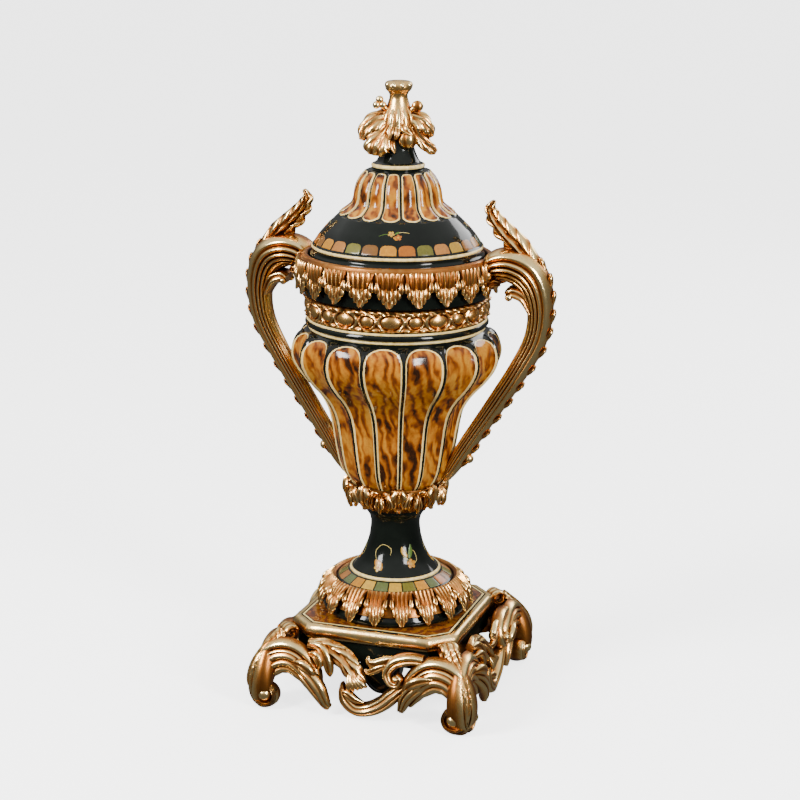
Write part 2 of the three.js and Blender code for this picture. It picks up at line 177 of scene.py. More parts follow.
def band(shell, stops, face, valleys=(-1, 1), rows=48, cols=21, depth=0.45, both=False, fade=1.0,
         sideways=None):
    """A ribbed scroll. A stop is x, y, z, half width, half thickness.

    `valleys` are where the ribs meet, across from -1 to 1. From start to end the ribs' depth changes
    to `fade` times itself. With `both` the back is ribbed too.
    """
    path = spline(stops, rows)
    _, across, out = axes_along(path[:, :3], face, sideways)
    u = np.linspace(1, -1, cols)[None]
    crest = np.broadcast_to(ribs(u, valleys), (rows, cols))
    depth = depth * np.linspace(1, fade, rows)[:, None]
    dome = np.sqrt(np.clip(1 - np.abs(u) ** 2.6, 0, 1))
    front = dome - depth * (1 - crest) * (1 - 0.6 * np.abs(u) ** 6)
    deep = (1 - crest) * np.clip(depth / 0.3, 0, 1)
    if both:
        a = np.broadcast_to(closed(u, u), (rows, 2 * cols - 2))
        b = closed(front, -front)
        deep = closed(deep, deep)
    else:
        rear = np.broadcast_to(np.linspace(-1, 1, 9)[None, 1:-1], (rows, 7))
        a = np.concatenate([np.broadcast_to(u, (rows, cols)), rear], axis=1)
        b = np.concatenate([front, -BACK * (1 - rear ** 4)], axis=1)
        # Painted shade: the back gets a recess of 0.8, so the gilt colours it dark.
        deep = np.concatenate([deep, np.full((rows, 7), 0.8)], axis=1)
    shell.loop_grid(swept(path, across, out, a, b), deep)


def leaf(shell, stops, face, lobes=4, rows=30, cols=17, notch=0.3, lean=0.8, both=False, rib=0.3,
         plain_side=0):
    """An acanthus leaf along a spline, with notched edges, a midrib and side veins that lean to its tip.

    `plain_side` is the side, 1 or -1, whose edge has no notches.
    """
    path = spline(stops, rows)
    _, across, out = axes_along(path[:, :3], face)
    s = np.linspace(0, 1, rows)[:, None]
    u = np.linspace(1, -1, cols)[None]
    vein = np.sin(np.pi * np.mod(lobes * s - lean * np.abs(u), 1) ** 1.4) ** 0.6
    bite = 1 - np.sin(np.pi * np.mod(lobes * s - lean, 1) ** 1.5) ** 0.6
    bite = bite * np.sin(np.pi * np.clip(s, 0.04, 0.9)) ** 0.3
    edge = 1 - notch * bite * np.where(u * plain_side > 0, 0, 1)
    dome = np.sqrt(np.clip(1 - np.abs(u) ** 2.2, 0, 1))
    beside_rib = bell(np.abs(u) - 0.27, 0.12)
    height = dome + rib * 0.8 * (bell(u, 0.12) - 0.9 * beside_rib) - rib * (1 - vein) * np.abs(u) ** 0.5
    deep = np.clip(0.75 * (1 - vein) * (0.3 + np.abs(u)) + 0.6 * beside_rib, 0, 1)
    a = closed(u * edge, u * edge)
    rear = -height if both else -0.55 * dome * np.ones_like(s)
    b = closed(height, rear)
    # Painted shade: a plain back gets a recess of 0.8, so the gilt colours it dark.
    back_deep = deep if both else np.full_like(height, 0.8)
    deep = closed(deep, back_deep)
    shell.loop_grid(swept(path, across, out, a, b), deep)


def petal(shell, stops, face, groove=0.3, rows=12, cols=9):
    """A small smooth lobe with a hollow down its middle; its ends are round."""
    path = spline(stops, rows)
    _, across, out = axes_along(path[:, :3], face)
    u = np.linspace(1, -1, cols)[None]
    round_end = np.sin(np.pi * np.linspace(0.10, 0.93, rows))[:, None] ** 0.45
    hollow = bell(u, 0.38)
    height = np.sqrt(np.clip(1 - np.abs(u) ** 2.4, 0, 1)) - groove * hollow
    a = closed(u, u) * round_end
    b = closed(height, -0.7 * np.sqrt(np.clip(1 - u ** 2, 0, 1))) * round_end
    deep = np.broadcast_to(closed(2.6 * groove * hollow, np.full((1, cols), 0.8)), a.shape)
    shell.loop_grid(swept(path, across, out, a, b), deep)


def ball(shell, centre, radii, lobes=0, depth=0.15, rows=12, cols=24, recess=0.0):
    """A ball, or with lobes a bud or a fluted boss about Z."""
    polar = np.linspace(0.12, np.pi - 0.12, rows)
    polar, angle = np.meshgrid(polar, np.linspace(0, 2 * np.pi, cols + 1)[:-1], indexing="ij")
    swell = 1 - depth * (1 - np.abs(np.cos(lobes * angle / 2))) if lobes else np.ones_like(angle)
    points = np.stack([np.sin(polar) * np.cos(angle) * swell, np.sin(polar) * np.sin(angle) * swell,
                       -np.cos(polar)], axis=-1)
    deep = (1 - swell) / depth if lobes else np.full_like(angle, recess)
    shell.loop_grid(points * np.asarray(radii, float) + np.asarray(centre, float), deep)


def ring(shell, profile, cols, recess=0.2):
    """A closed outline of [radius, height] turned about Z, as one closed grid. `recess` may be per point."""
    outline = np.asarray(profile, float)
    angles = np.linspace(0, 2 * np.pi, cols + 1)[:-1, None]
    shell.wrapped_grid(about_axis(outline[None, :, 0], angles, outline[None, :, 1]), recess)


def arc(centre, radius, start, stop, count):
    """Points of a circular arc in (radius, height), its angles in degrees from outwards."""
    a = np.radians(np.linspace(start, stop, count))
    return [[centre[0] + radius * math.cos(t), centre[1] + radius * math.sin(t)] for t in a]


# ---- Blender objects

def add_object(name, points, faces, materials, face_material=None, numbers=None, colours=None, sharp=38):
    """A mesh object in metres, shaded smooth except across sharp edges."""
    mesh = bpy.data.meshes.new(name)
    mesh.from_pydata((np.asarray(points) * MM).tolist(), [], faces)
    for material in materials:
        mesh.materials.append(material)
    if face_material is not None:
        mesh.polygons.foreach_set("material_index", np.asarray(face_material, np.int32))
    for label, values in (numbers or {}).items():
        mesh.attributes.new(label, "FLOAT", "POINT").data.foreach_set("value", np.asarray(values, np.float32))
    if colours is not None:
        rgba = np.hstack([np.asarray(colours, np.float32), np.ones((len(colours), 1), np.float32)])
        mesh.attributes.new("tint", "FLOAT_COLOR", "POINT").data.foreach_set("color", rgba.reshape(-1))
    shape = bmesh.new()
    shape.from_mesh(mesh)
    bmesh.ops.recalc_face_normals(shape, faces=shape.faces)
    shape.to_mesh(mesh)
    shape.free()
    mesh.polygons.foreach_set("use_smooth", [True] * len(mesh.polygons))
    mesh.set_sharp_from_angle(angle=math.radians(sharp))
    piece = bpy.data.objects.new(name, mesh)
    bpy.context.scene.collection.objects.link(piece)
    return piece


def add_piece(name, nodes, slot, shell, materials, **kwargs):
    """An object that rides with the urn, stands for CAD nodes, which it hides, and takes its finish from
    `materials`; `slot` is not used.
    """
    piece = add_object(name, np.vstack(shell.points), shell.faces, materials, **kwargs)
    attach(piece, "root")
    if nodes:
        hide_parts(*nodes)
    return piece


def add_gilt(name, node, shell):
    # The recess numbers darken the gilt's colour: painted shade in hollows, on the backs of scrolls and
    # leaves and on the collars' cores.
    return add_piece(name, [node], "gilt", shell, [GILT],
                     numbers={"recess": np.concatenate(shell.recess)}, sharp=55)


# ---- materials

class Nodes:
    """A node tree whose nodes are made by short calls."""

    def __init__(self, tree):
        self.tree = tree

    def node(self, kind, settings=None, **inputs):
        made = self.tree.nodes.new(kind)
        for key, value in (settings or {}).items():
            setattr(made, key, value)
        for key, value in inputs.items():
            self.link(value, made.inputs[key.replace("_", " ")])
        return made

    def link(self, value, socket):
        if isinstance(value, bpy.types.NodeSocket):
            self.tree.links.new(value, socket)
        else:
            socket.default_value = value

    def place(self):
        return self.node("ShaderNodeTexCoord").outputs["Object"]

    def number(self, label):
        return self.node("ShaderNodeAttribute", {"attribute_name": label}).outputs["Fac"]

    def colour(self, label):
        return self.node("ShaderNodeAttribute", {"attribute_name": label}).outputs["Color"]

    def noise(self, vector, scale, detail=3.0, rough=0.5, distortion=0.0):
        return self.node("ShaderNodeTexNoise", Vector=vector, Scale=scale, Detail=detail, Roughness=rough,
                         Distortion=distortion).outputs["Fac"]

    def ramp(self, value, *stops, between="LINEAR"):
        """Colours or grey levels at places from 0 to 1."""
        made = self.node("ShaderNodeValToRGB", Fac=value)
        made.color_ramp.interpolation = between
        elements = made.color_ramp.elements
        while len(elements) < len(stops):
            elements.new(0.5)
        for element, (at, colour) in zip(elements, stops):
            element.position = at
            element.color = (*colour, 1) if isinstance(colour, tuple) else (colour, colour, colour, 1)
        return made.outputs["Color"]

    def math(self, operation, a, b=0.0):
        made = self.tree.nodes.new("ShaderNodeMath")
        made.operation = operation
        self.link(a, made.inputs[0])
        self.link(b, made.inputs[1])
        return made.outputs[0]

    def vector(self, operation, a, b=None):
        made = self.tree.nodes.new("ShaderNodeVectorMath")
        made.operation = operation
        self.link(a, made.inputs[0])
        if b is not None:
            self.link(b, made.inputs[1])
        return made.outputs[0]

    def mix(self, factor, a, b, blend="MIX"):
        made = self.tree.nodes.new("ShaderNodeMix")
        made.data_type = "RGBA"
        made.blend_type = blend
        for value, socket in ((factor, made.inputs["Factor"]), (a, made.inputs[6]), (b, made.inputs[7])):
            self.link((*value, 1) if isinstance(value, tuple) else value, socket)
        return made.outputs[2]

    def bump(self, height, distance, strength=1.0):
        made = self.node("ShaderNodeBump", Height=height, Distance=distance, Strength=strength)
        return made.outputs["Normal"]


class Finish(Nodes):
    """A material on the principled shader."""

    def __init__(self, name, **inputs):
        self.material = bpy.data.materials.new(name)
        self.material.use_nodes = True
        super().__init__(self.material.node_tree)
        self.shade(**inputs)

    def shade(self, **inputs):
        for key, value in inputs.items():
            self.link(value, self.tree.nodes["Principled BSDF"].inputs[key.replace("_", " ")])


def gilt_finish():
    """Copper-gold gilding, brightest on the crests, with painted shade: red-brown to near black in the
    recesses and wherever the ambient occlusion node finds nearby surfaces.
    """
    f = Finish("gilt", Metallic=1.0, Specular_IOR_Level=0.5)
    at = f.place()
    # Painted shade: the ambient occlusion and the recess number darken the gold where light is cut off; the
    # noise patches add random tone on top.
    hollow = f.node("ShaderNodeAmbientOcclusion", {"samples": 6}, Distance=0.006).outputs["AO"]
    patches = f.noise(at, 160, 4, 0.6)
    deep = f.math("MULTIPLY", f.number("recess"), 0.75)
    dark = f.math("ADD", deep, f.math("MULTIPLY", f.math("SUBTRACT", 1.0, hollow), 0.9))
    dark = f.math("ADD", dark, f.math("MULTIPLY", f.math("SUBTRACT", patches, 0.5), 0.55))
    gold = f.ramp(dark, (0.0, (1.0, 0.77, 0.36)), (0.22, (0.88, 0.51, 0.16)), (0.52, (0.42, 0.155, 0.034)),
                  (1.0, (0.07, 0.018, 0.005)))
    specks = f.ramp(f.noise(at, 900, 2, 0.7), (0.60, 0.0), (0.72, 1.0))
    gold = f.mix(f.math("MULTIPLY", specks, 0.35), gold, (0.30, 0.12, 0.05))
    rough = f.ramp(f.math("ADD", f.math("MULTIPLY", dark, 0.6), f.math("MULTIPLY", patches, 0.3)),
                   (0.1, 0.17), (0.75, 0.46))
    f.shade(Base_Color=gold, Roughness=rough, Normal=f.bump(f.noise(at, 1100, 3, 0.6), 0.00012, 0.7))
    return f.material


def lacquer_finish():
    """Deep black lacquer with a faint green cast and the slight unevenness of a hand-rubbed coat."""
    f = Finish("lacquer", Specular_IOR_Level=0.24)
    at = f.place()
    tone = f.ramp(f.noise(at, 30, 4, 0.6), (0.3, (0.002, 0.003, 0.002)), (0.75, (0.006, 0.008, 0.006)))
    f.shade(Base_Color=tone, Roughness=f.ramp(f.noise(at, 220, 3, 0.6), (0.3, 0.05), (0.8, 0.16)),
            Normal=f.bump(f.noise(at, 70, 2, 0.5), 0.0003, 0.25))
    return f.material


def burl_colour(f, at, seed):
    """Figured amber and brown wood: long swirls, fine curl and dark clouds."""
    shift = f.node("ShaderNodeCombineXYZ", X=f.math("MULTIPLY", seed, 7.0), Y=f.math("MULTIPLY", seed, 3.0),
                   Z=f.math("MULTIPLY", seed, 5.0)).outputs[0]
    moved = f.vector("ADD", at, shift)
    long = f.vector("MULTIPLY", moved, (1.0, 1.0, 0.55))
    cloud = f.noise(long, 26, 5, 0.55, 2.2)
    curl = f.node("ShaderNodeTexWave", {"wave_type": "RINGS", "rings_direction": "SPHERICAL"}, Vector=long,
                   Scale=34.0, Distortion=14.0, Detail=3.0, Detail_Scale=1.1,
                  Detail_Roughness=0.6).outputs["Fac"]
    base = f.ramp(f.math("ADD", f.math("MULTIPLY", cloud, 0.80), f.math("MULTIPLY", curl, 0.20)),
                  (0.30, (0.50, 0.215, 0.016)), (0.45, (0.36, 0.115, 0.007)), (0.55, (0.17, 0.040, 0.004)),
                  (0.66, (0.018, 0.006, 0.002)))
    fleck = f.ramp(f.noise(moved, 420, 3, 0.7, 0.8), (0.45, 0.0), (0.75, 1.0))
    return f.mix(f.math("MULTIPLY", fleck, 0.4), base, (0.09, 0.026, 0.006))


BLACK = (0.003, 0.004, 0.003)


def panel_finish():
    """Burl panels edged in cream on black: `panel` is how far a point lies inside a panel, in millimetres."""
    f = Finish("marquetry_panels", Specular_IOR_Level=0.35)
    inside, at = f.number("panel"), f.place()
    wood = burl_colour(f, at, f.number("seed"))
    wobble = f.math("MULTIPLY", f.math("SUBTRACT", f.noise(at, 260, 2), 0.5), 0.5)
    depth = f.math("ADD", inside, wobble)
    in_line, in_wood = (f.ramp(f.math("ADD", f.math("MULTIPLY", f.math("SUBTRACT", depth, edge), 0.2), 0.5),
                               (0.49, 0.0), (0.51, 1.0)) for edge in (0.0, LINE))
    brass = f.mix(f.noise(at, 300, 3), (0.88, 0.70, 0.30), (0.60, 0.38, 0.11))
    tone = f.mix(in_wood, f.mix(in_line, BLACK, brass), wood)
    f.shade(Base_Color=tone, Roughness=f.ramp(f.noise(at, 240, 3, 0.6), (0.3, 0.07), (0.8, 0.20)),
            Normal=f.bump(f.noise(at, 90, 2, 0.5), 0.0003, 0.25))
    return f.material


def inlay_finish():
    """Thin inlaid pieces of shell and stained wood, each of its own tint."""
    f = Finish("inlay", Specular_IOR_Level=0.35)
    at = f.place()
    tint = f.colour("tint")
    streak = f.noise(at, 330, 4, 0.65, 1.2)
    tone = f.mix(f.ramp(streak, (0.35, 0.0), (0.8, 0.75)), tint,
                 f.mix(1.0, tint, (0.42, 0.30, 0.20), "MULTIPLY"))
    f.shade(Base_Color=tone, Roughness=f.ramp(streak, (0.3, 0.16), (0.8, 0.34)),
            Normal=f.bump(f.noise(at, 500, 2), 0.0001, 0.4))
    return f.material


def veneer_finish():
    """The burl of the plinth's top, darker and redder, cut in four and matched."""
    f = Finish("veneer", Specular_IOR_Level=0.35)
    at = f.place()
    wood = burl_colour(f, f.vector("ABSOLUTE", at), 2.4)
    f.shade(Base_Color=f.mix(0.55, wood, (0.085, 0.022, 0.008)),
            Roughness=f.ramp(f.noise(at, 240, 3, 0.6), (0.3, 0.12), (0.8, 0.3)))
    return f.material


LINE = 1.1  # width of the cream outlines, in millimetres
GILT, LACQUER, PANELS, INLAY, VENEER = (gilt_finish(), lacquer_finish(), panel_finish(), inlay_finish(),
                                        veneer_finish())


# ---- turned bodies with panels

BOWL_PANELS, LID_PANELS, RIM_LEAVES, FOOT_LEAVES = 16, 16, 22, 18


def dense(points, step):
    """A polyline through spline points, about `step` apart."""
    rows = np.asarray(points, float)
    length = np.linalg.norm(np.diff(rows, axis=0), axis=1).sum()
    return spline(rows, max(3, int(round(length / step)) + 1))


def fluted(profile, count, groove, ends, corner, lift=0.45, channel=1.4):
    """Rings of points over a profile with `count` convex panels.

    `groove` gives the depth between crests at places from 0 to 1 along the profile, `ends` the margins
    (mm) left plain at its start and end, and `corner` how round the panels' ends are there.
    Returns points, recess, panel distance and seed.
    """
    normal = normals(profile)
    s = arc_lengths(profile)
    depth = np.interp(s / s[-1], *np.array(groove).T)
    first, last = s - ends[0], s[-1] - ends[1] - s
    pitch = math.pi * profile[:, 0] / count
    gap = channel * np.sqrt(profile[:, 0] / profile[:, 0].max())
    half = pitch - gap
    inner = half - LINE
    offsets = [pitch, half + 0.5 * gap, half, half - 0.35, inner, inner - 0.4] + [inner * k for k in
                                                                                  (0.84, 0.66, 0.46, 0.24)]
    side = np.stack(offsets, axis=1)
    x = np.concatenate([-side, np.zeros((len(s), 1)), side[:, :0:-1]], axis=1)
    across = np.abs(x)
    v = np.clip(across / half[:, None], 0, 1)
    drop = depth[:, None] * (1 - np.sqrt(1 - (0.97 * v) ** 2)) / (1 - math.sqrt(1 - 0.97 ** 2))
    inside = half[:, None] - across
    for margin, round_share in ((first, corner[0]), (last, corner[1])):
        radius = round_share * half[:, None]
        near = margin[:, None]
        past = np.maximum(across - (half[:, None] - radius), 0)
        bend = radius - np.hypot(past, np.maximum(radius - near, 0))
        inside = np.minimum(inside, np.where(near < radius, np.minimum(bend, near), inside))
    raised = lift * smooth(inside / 0.5) - 0.5 * lift * smooth((inside - LINE + 0.2) / 0.5)
    shown = smooth(np.minimum(first, last) / 3 + 0.6)[:, None]
    height = -drop * shown + raised
    recess = np.clip(1 - smooth(inside / 0.6), 0, 1)
    points, numbers = [], {"recess": [], "panel": [], "seed": []}
    seeds = rng.random(count)
    r = profile[:, :1] + normal[:, :1] * height
    z = profile[:, 1:] + normal[:, 1:] * height
    for k in range(count):
        angle = (2 * k + 1) * math.pi / count + x / profile[:, :1]
        points.append(about_axis(r, angle, z))
        numbers["recess"].append(recess)
        numbers["panel"].append(inside)
        numbers["seed"].append(np.full_like(x, seeds[k]))
    return np.concatenate(points, axis=1), {key: np.concatenate(v, axis=1) for key, v in numbers.items()}


def plain(profile, angles):
    """Rings of points over a profile at the same angles as a fluted stretch."""
    rows = np.asarray(profile, float)
    return about_axis(rows[:, :1], angles, rows[:, 1:])


def revolved(name, node, slot, stretches, cols=None):
    """A closed body turned from stretches of (profile or fluted grid, material number).

    The material numbers are 0 lacquer, 1 cream line and 2 panels.
    """
    angles = np.linspace(0, 2 * np.pi, cols + 1)[:-1] if cols else None
    for stretch, _ in stretches:
        if isinstance(stretch, tuple):
            angles = np.unwrap(np.arctan2(stretch[0][0, :, 0], -stretch[0][0, :, 1]))
    grids, owners, numbers = [], [], {"recess": [], "panel": [], "seed": []}
    for stretch, material in stretches:
        grid, values = stretch if isinstance(stretch, tuple) else (plain(stretch, angles), {})
        grids.append(grid)
        owners += [material] * len(grid)
        for key, store in numbers.items():
            store.append(values.get(key, np.full(grid.shape[:2], -3.0 if key == "panel" else 0.0)))
    shell = Shell()
    points = np.concatenate(grids)
    shell.loop_grid(points, 0.0)
    wide = points.shape[1]
    by_face = [owners[i + 1] if owners[i + 1] == owners[i] else min(owners[i], owners[i + 1])
               for i in range(len(points) - 1) for _ in range(wide)] + [0] * (2 * wide)
    return add_piece(name, [node], slot, shell, [LACQUER, CREAM_LINE, PANELS], face_material=by_face,
                      numbers={key: np.append(np.concatenate(v).reshape(-1), [0, 0]) for key,
                               v in numbers.items()})


def cream_finish():
    """The plain inlaid lines: bone with a brassy tone."""
    f = Finish("cream_line", Specular_IOR_Level=0.4)
    at = f.place()
    f.shade(Base_Color=f.ramp(f.noise(at, 260, 3, 0.6), (0.3, (0.60, 0.40, 0.12)), (0.7, (0.88, 0.70, 0.30))),
            Roughness=f.ramp(f.noise(at, 400, 2), (0.3, 0.18), (0.8, 0.36)))
    return f.material


CREAM_LINE = cream_finish()


# ---- bowl, lid and stem

BOWL_CREST = [
    [79, 342.6], [83.5, 338.2], [86.8, 334], [88.9, 328], [89.6, 320.5], [88.4, 313.5], [84.6, 306],
    [77.5, 296.5], [70, 288], [63.5, 278.5], [58.9, 268], [56.2, 256], [54.4, 243], [52.2, 228],
    [49.2, 214], [44.3, 204], [37.5, 196.5], [29.5, 190.5]]
LID_CREST = [
    [53.4, 443.4], [49.8, 447.2], [45, 450.8], [41.3, 454.2], [39.6, 459], [38.7, 465], [37, 471],
    [34.2, 476.6], [30.8, 480.6], [27.6, 483.6]]
DOME = [[75.0, 418.3], [73, 421.2], [70.4, 425], [67.5, 429], [64, 433], [60.8, 436.2], [57, 440],
        [53.4, 443.4]]
STEM = [
    [38.9, 115.9], [35.4, 120.2], [32, 125], [28.9, 131], [26.4, 137], [24.6, 143], [23.4, 149],
    [22.6, 156], [22.7, 161], [24.2, 166.4], [27, 170.6]]

bowl_grid = fluted(dense(BOWL_CREST, 1.5), BOWL_PANELS, [(0, 0.6), (0.06, 3.6), (0.15, 5.6), (0.3, 4.8),
                                                         (0.5, 3.2), (0.75, 2), (1, 0.6)], (4.6, 7),
                   (0.95, 0.9))
revolved("bowl_body", "bowl", "inlaid_wood", [([[26, 176.5], [27.4, 183], [29.2, 189.6]], 0),
                                              ((bowl_grid[0][::-1],
                                                {k: v[::-1] for k, v in bowl_grid[1].items()}), 2),
                                              (arc((78.6, 343.6), 1.3, -50, 60, 7), 1),
                                              (dense([[79.8, 345], [81.8, 346.2], [82.6, 348], [81.9, 350]],
                                                      0.6), 0), (arc((80.2, 351.4), 1.3, -30, 80, 7), 1),
                                              ([[79, 353], [76.7, 353.1], [76.7, 373.3], [82.4, 373.4]], 0),
                                               (dense([[83.8, 374.2], [84.3, 376], [84.5, 380], [84.6, 390],
                                                        [84.5, 399]], 1.5), 0),
                                              (dense([[82.6, 404], [79.4, 405.8], [75, 405.8],
                                                      [72.2, 404.4]], 1), 0),
                                              (dense([[72, 400], [72, 345], [74.2, 322], [74, 311],
                                                      [62, 287], [52.5, 265], [46.5, 238], [38, 215],
                                                      [26, 204.5], [8, 201]], 9), 0),])

lid_grid = fluted(dense(LID_CREST, 0.8), LID_PANELS, [(0, 1.2), (0.1, 2.2), (0.5, 2.4), (0.85, 1.6),
                                                      (1, 0.7)], (1.6, 1.0), (0.9, 0.6), lift=0.7,
                  channel=1.25)
revolved("lid_body", "lid", "inlaid_wood", [(dense([[3, 483], [17, 481], [30.5, 470], [34.3, 458],
                                                    [42, 447], [57.5, 432], [67, 417], [69.2, 408]], 5), 0),
                                             (dense([[70.5, 406.4], [77.4, 406.4], [78.1, 407.4],
                                                     [78.1, 409.2], [77.4, 410.4]], 0.9), 0),
                                            (dense([[76.4, 411.4], [76, 413], [76.2, 414.4]], 0.8), 0),
                                            (arc((75.3, 416.2), 1.5, -70, 70, 8), 1), (dense(DOME, 1.6), 0),
                                             (lid_grid, 2), (dense([[25, 483.9], [22.8, 484.3],
                                                                    [22.9, 486]], 0.6), 0),
                                                             (arc((21.9, 487.6), 1.9, -50, 75, 9), 1),
                                                             (dense([[21.2, 489.9], [19.2, 491.4],
                                                                     [17.2, 495], [15.2, 500], [13.6, 505],
                                                                      [12.4, 509.6]], 0.9), 0),
                                                             ([[9, 509.8], [1, 509.8]], 0),])

revolved("stem_body", "stem", "lacquered_wood", [
    (dense([[56, 78], [64, 78], [66.2, 79.2], [66.6, 81.4], [66, 83.6]], 0.9), 0),
    ([[60, 92], [54.5, 103], [53.8, 105.6]], 0),
    (dense([[53.8, 106.2], [53, 107.2], [48, 110.4], [42.6, 113.6]], 1.2), 0),
    (arc((40.4, 114.7), 1.6, -35, 105, 9), 1),
    (dense(STEM, 1.3), 0),
    ([[27.6, 175], [24, 175.9]], 0),
], cols=144)


# ---- inlaid pieces

class Inlay:
    """Thin closed patches that follow a turned surface, each point with its own tint."""

    def __init__(self, profile):
        rows = dense(profile, 0.5)
        self.rows, self.normal = rows, normals(rows)
        if self.normal[:, 0].mean() < 0:
            self.normal = -self.normal
        self.s = arc_lengths(rows)
        self.shell, self.tints = Shell(), []

    def lay(self, angle, s, lift):
        """A point at an angle in radians, a way along the profile and a lift off it."""
        r, z, nr, nz = (np.interp(s, self.s, v) for v in (*self.rows.T, *self.normal.T))
        r, z = r + nr * lift, z + nz * lift
        return about_axis(r, angle, z)

    def patch(self, angle0, s0, outline, tint, lift=0.22):
        """A patch with a pillowed top inside an outline of [across, along] points, in millimetres."""
        shape = np.asarray(outline, float)
        middle = shape.mean(0)
        levels = [(1.0, -0.4), (1.0, 0.3), (0.93, 0.85)] + [(share, 1.0) for share in (0.75, 0.5, 0.25)]
        grid = []
        for share, height in levels:
            flat = middle + (shape - middle) * share
            s = s0 + flat[:, 1]
            radius = np.interp(s, self.s, self.rows[:, 0])
            grid.append(self.lay(angle0 + flat[:, 0] / radius, s, lift * height))
        self.shell.loop_grid(np.stack(grid), 0.0)
        self.tints += [tint] * (len(levels) * len(shape) + 2)

    def stroke(self, angle0, s0, stops, width, tint):
        """A thin tapering line through [across, along] stops."""
        path = spline(stops, 8 * len(stops))
        along = unit(np.gradient(path, axis=0))
        side = np.stack([-along[:, 1], along[:, 0]], axis=1)
        half = 0.5 * width * np.clip(np.sin(np.linspace(0.12, 2.9, len(path))) + 0.25, 0.2, 1)[:, None]
        grid = []
        for offset, height in ((-1, -0.3), (-0.8, 0.8), (0.8, 0.8), (1, -0.3)):
            flat = path + side * half * offset
            s = s0 + flat[:, 1]
            radius = np.interp(s, self.s, self.rows[:, 0])
            grid.append(self.lay(angle0 + flat[:, 0] / radius, s, 0.2 * height))
        self.shell.loop_grid(np.stack(grid, axis=1), 0.0)
        self.tints += [tint] * (4 * len(path) + 2)

    def flower(self, angle0, s0, centre, radii, turned, tint, heart, lift=0.22):
        """Five petals and a heart; `radii` are the petals' and the heart's, `turned` their angles."""
        for radius, count, angle, colour, rise in ((radii[0], 5, turned[0], tint, lift),
                                                   (radii[1], 4, turned[1], heart, lift + 0.12)):
            self.patch(angle0, s0, petals(centre, radius, count, angle), colour, lift=rise)

    def finish(self, name, slot):
        return add_piece(name, [], slot, self.shell, [INLAY],
                         colours=self.tints, sharp=50)


def petals(centre, radius, count, turned):
    a = np.linspace(0, 2 * np.pi, 12 * count + 1)[:-1]
    r = radius * (0.52 + 0.48 * np.abs(np.cos(count * a / 2)) ** 0.7)
    return np.stack([centre[0] + r * np.cos(a + turned), centre[1] + r * np.sin(a + turned)], axis=1)


def leaf_outline(start, end, width, bend=0.0):
    a, b = np.asarray(start, float), np.asarray(end, float)
    side = np.array([-(b - a)[1], (b - a)[0]]) / np.linalg.norm(b - a)
    t = np.linspace(0, 1, 14)[:, None]
    middle = a + (b - a) * t + side * bend * np.sin(np.pi * t)
    swell = width * np.sin(np.pi * t) ** 0.8 * (1 - 0.25 * t)
    return np.vstack([middle + side * swell, (middle - side * swell)[::-1][1:-1]])


def tile_outline(width, height, rounded):
    """A tile, its upper corners rounded."""
    a = np.linspace(0, np.pi / 2, 5)
    w = width / 2
    top = [[w - rounded + rounded * math.cos(t), height / 2 - rounded + rounded * math.sin(t)] for t in a]
    sides = [[-w, 0], [-w, -height / 2], [0, -height / 2], [w, -height / 2], [w, 0]]
    return top + [[-x, y] for x, y in top[::-1]] + sides


AMBER, ORANGE, OLIVE, TAN = (0.42, 0.18, 0.012), (0.36, 0.11, 0.010), (0.13, 0.12, 0.02), (0.20, 0.085, 0.018)
SALMON, SAGE, STRAW = (0.34, 0.14, 0.03), (0.08, 0.10, 0.035), (0.46, 0.27, 0.03)
LEAF_GREEN, PALE_STEM = (0.07, 0.13, 0.02), (0.45, 0.36, 0.12)

lid_inlay = Inlay(DOME)
LID_TILE_COUNT, FOOT_TILE_COUNT = 28, 24
LID_TILES = [AMBER, ORANGE, OLIVE, SALMON, STRAW, TAN, AMBER, SAGE, ORANGE, TAN, AMBER, SALMON, OLIVE, TAN]
for k in range(LID_TILE_COUNT):
    azimuth = math.radians(12.3 + k * 360 / LID_TILE_COUNT)
    tint = np.array(LID_TILES[k % 14]) * rng.uniform(0.8, 1.15)
    lid_inlay.patch(azimuth, 6.2, tile_outline(14.3, 9.6, 4.6), tint)
for k in range(4):
    spot = math.radians(16 + 90 * k)
    lid_inlay.flower(spot, 21.4, (3.6, -2.2), (3.3, 1.1), (0.4, 0.0), ORANGE, STRAW)
    lid_inlay.flower(spot, 21.4, (-2.6, 1.4), (3.1, 1.0), (1.0, 0.0), STRAW, ORANGE)
    lid_inlay.patch(spot, 21.4, leaf_outline((0.5, 1.2), (4.6, 3.8), 1.1), LEAF_GREEN)
    lid_inlay.patch(spot, 21.4, leaf_outline((-1, -1.4), (2.2, -5.2), 1.0), AMBER)
    lid_inlay.stroke(spot, 21.4, [(-4.5, 1.4), (-9, 0.6), (-13.5, -1.4)], 0.6, LEAF_GREEN)
    lid_inlay.stroke(spot, 21.4, [(2, 2.6), (7.5, 3.2), (13, 2.2)], 0.6, PALE_STEM)
lid_inlay.finish("lid_inlay", "inlaid_wood")

foot_inlay = Inlay([[53.0, 107.2], [48, 110.4], [42.6, 113.6]])
FOOT_TILES = [SAGE, STRAW, OLIVE, AMBER, SAGE, ORANGE, TAN, OLIVE, SALMON, SAGE, AMBER, STRAW]
for k in range(FOOT_TILE_COUNT):
    tint = np.array(FOOT_TILES[k % 12]) * rng.uniform(0.8, 1.15)
    width = 2 * math.pi * 48 / FOOT_TILE_COUNT - 1.3
    outline = [[x * (1 - 0.018 * y), y] for x, y in tile_outline(width, 10, 0.5)]
    foot_inlay.patch(math.radians(15 * k + 4), 6.1, outline, tint)
foot_inlay.finish("foot_inlay", "lacquered_wood")

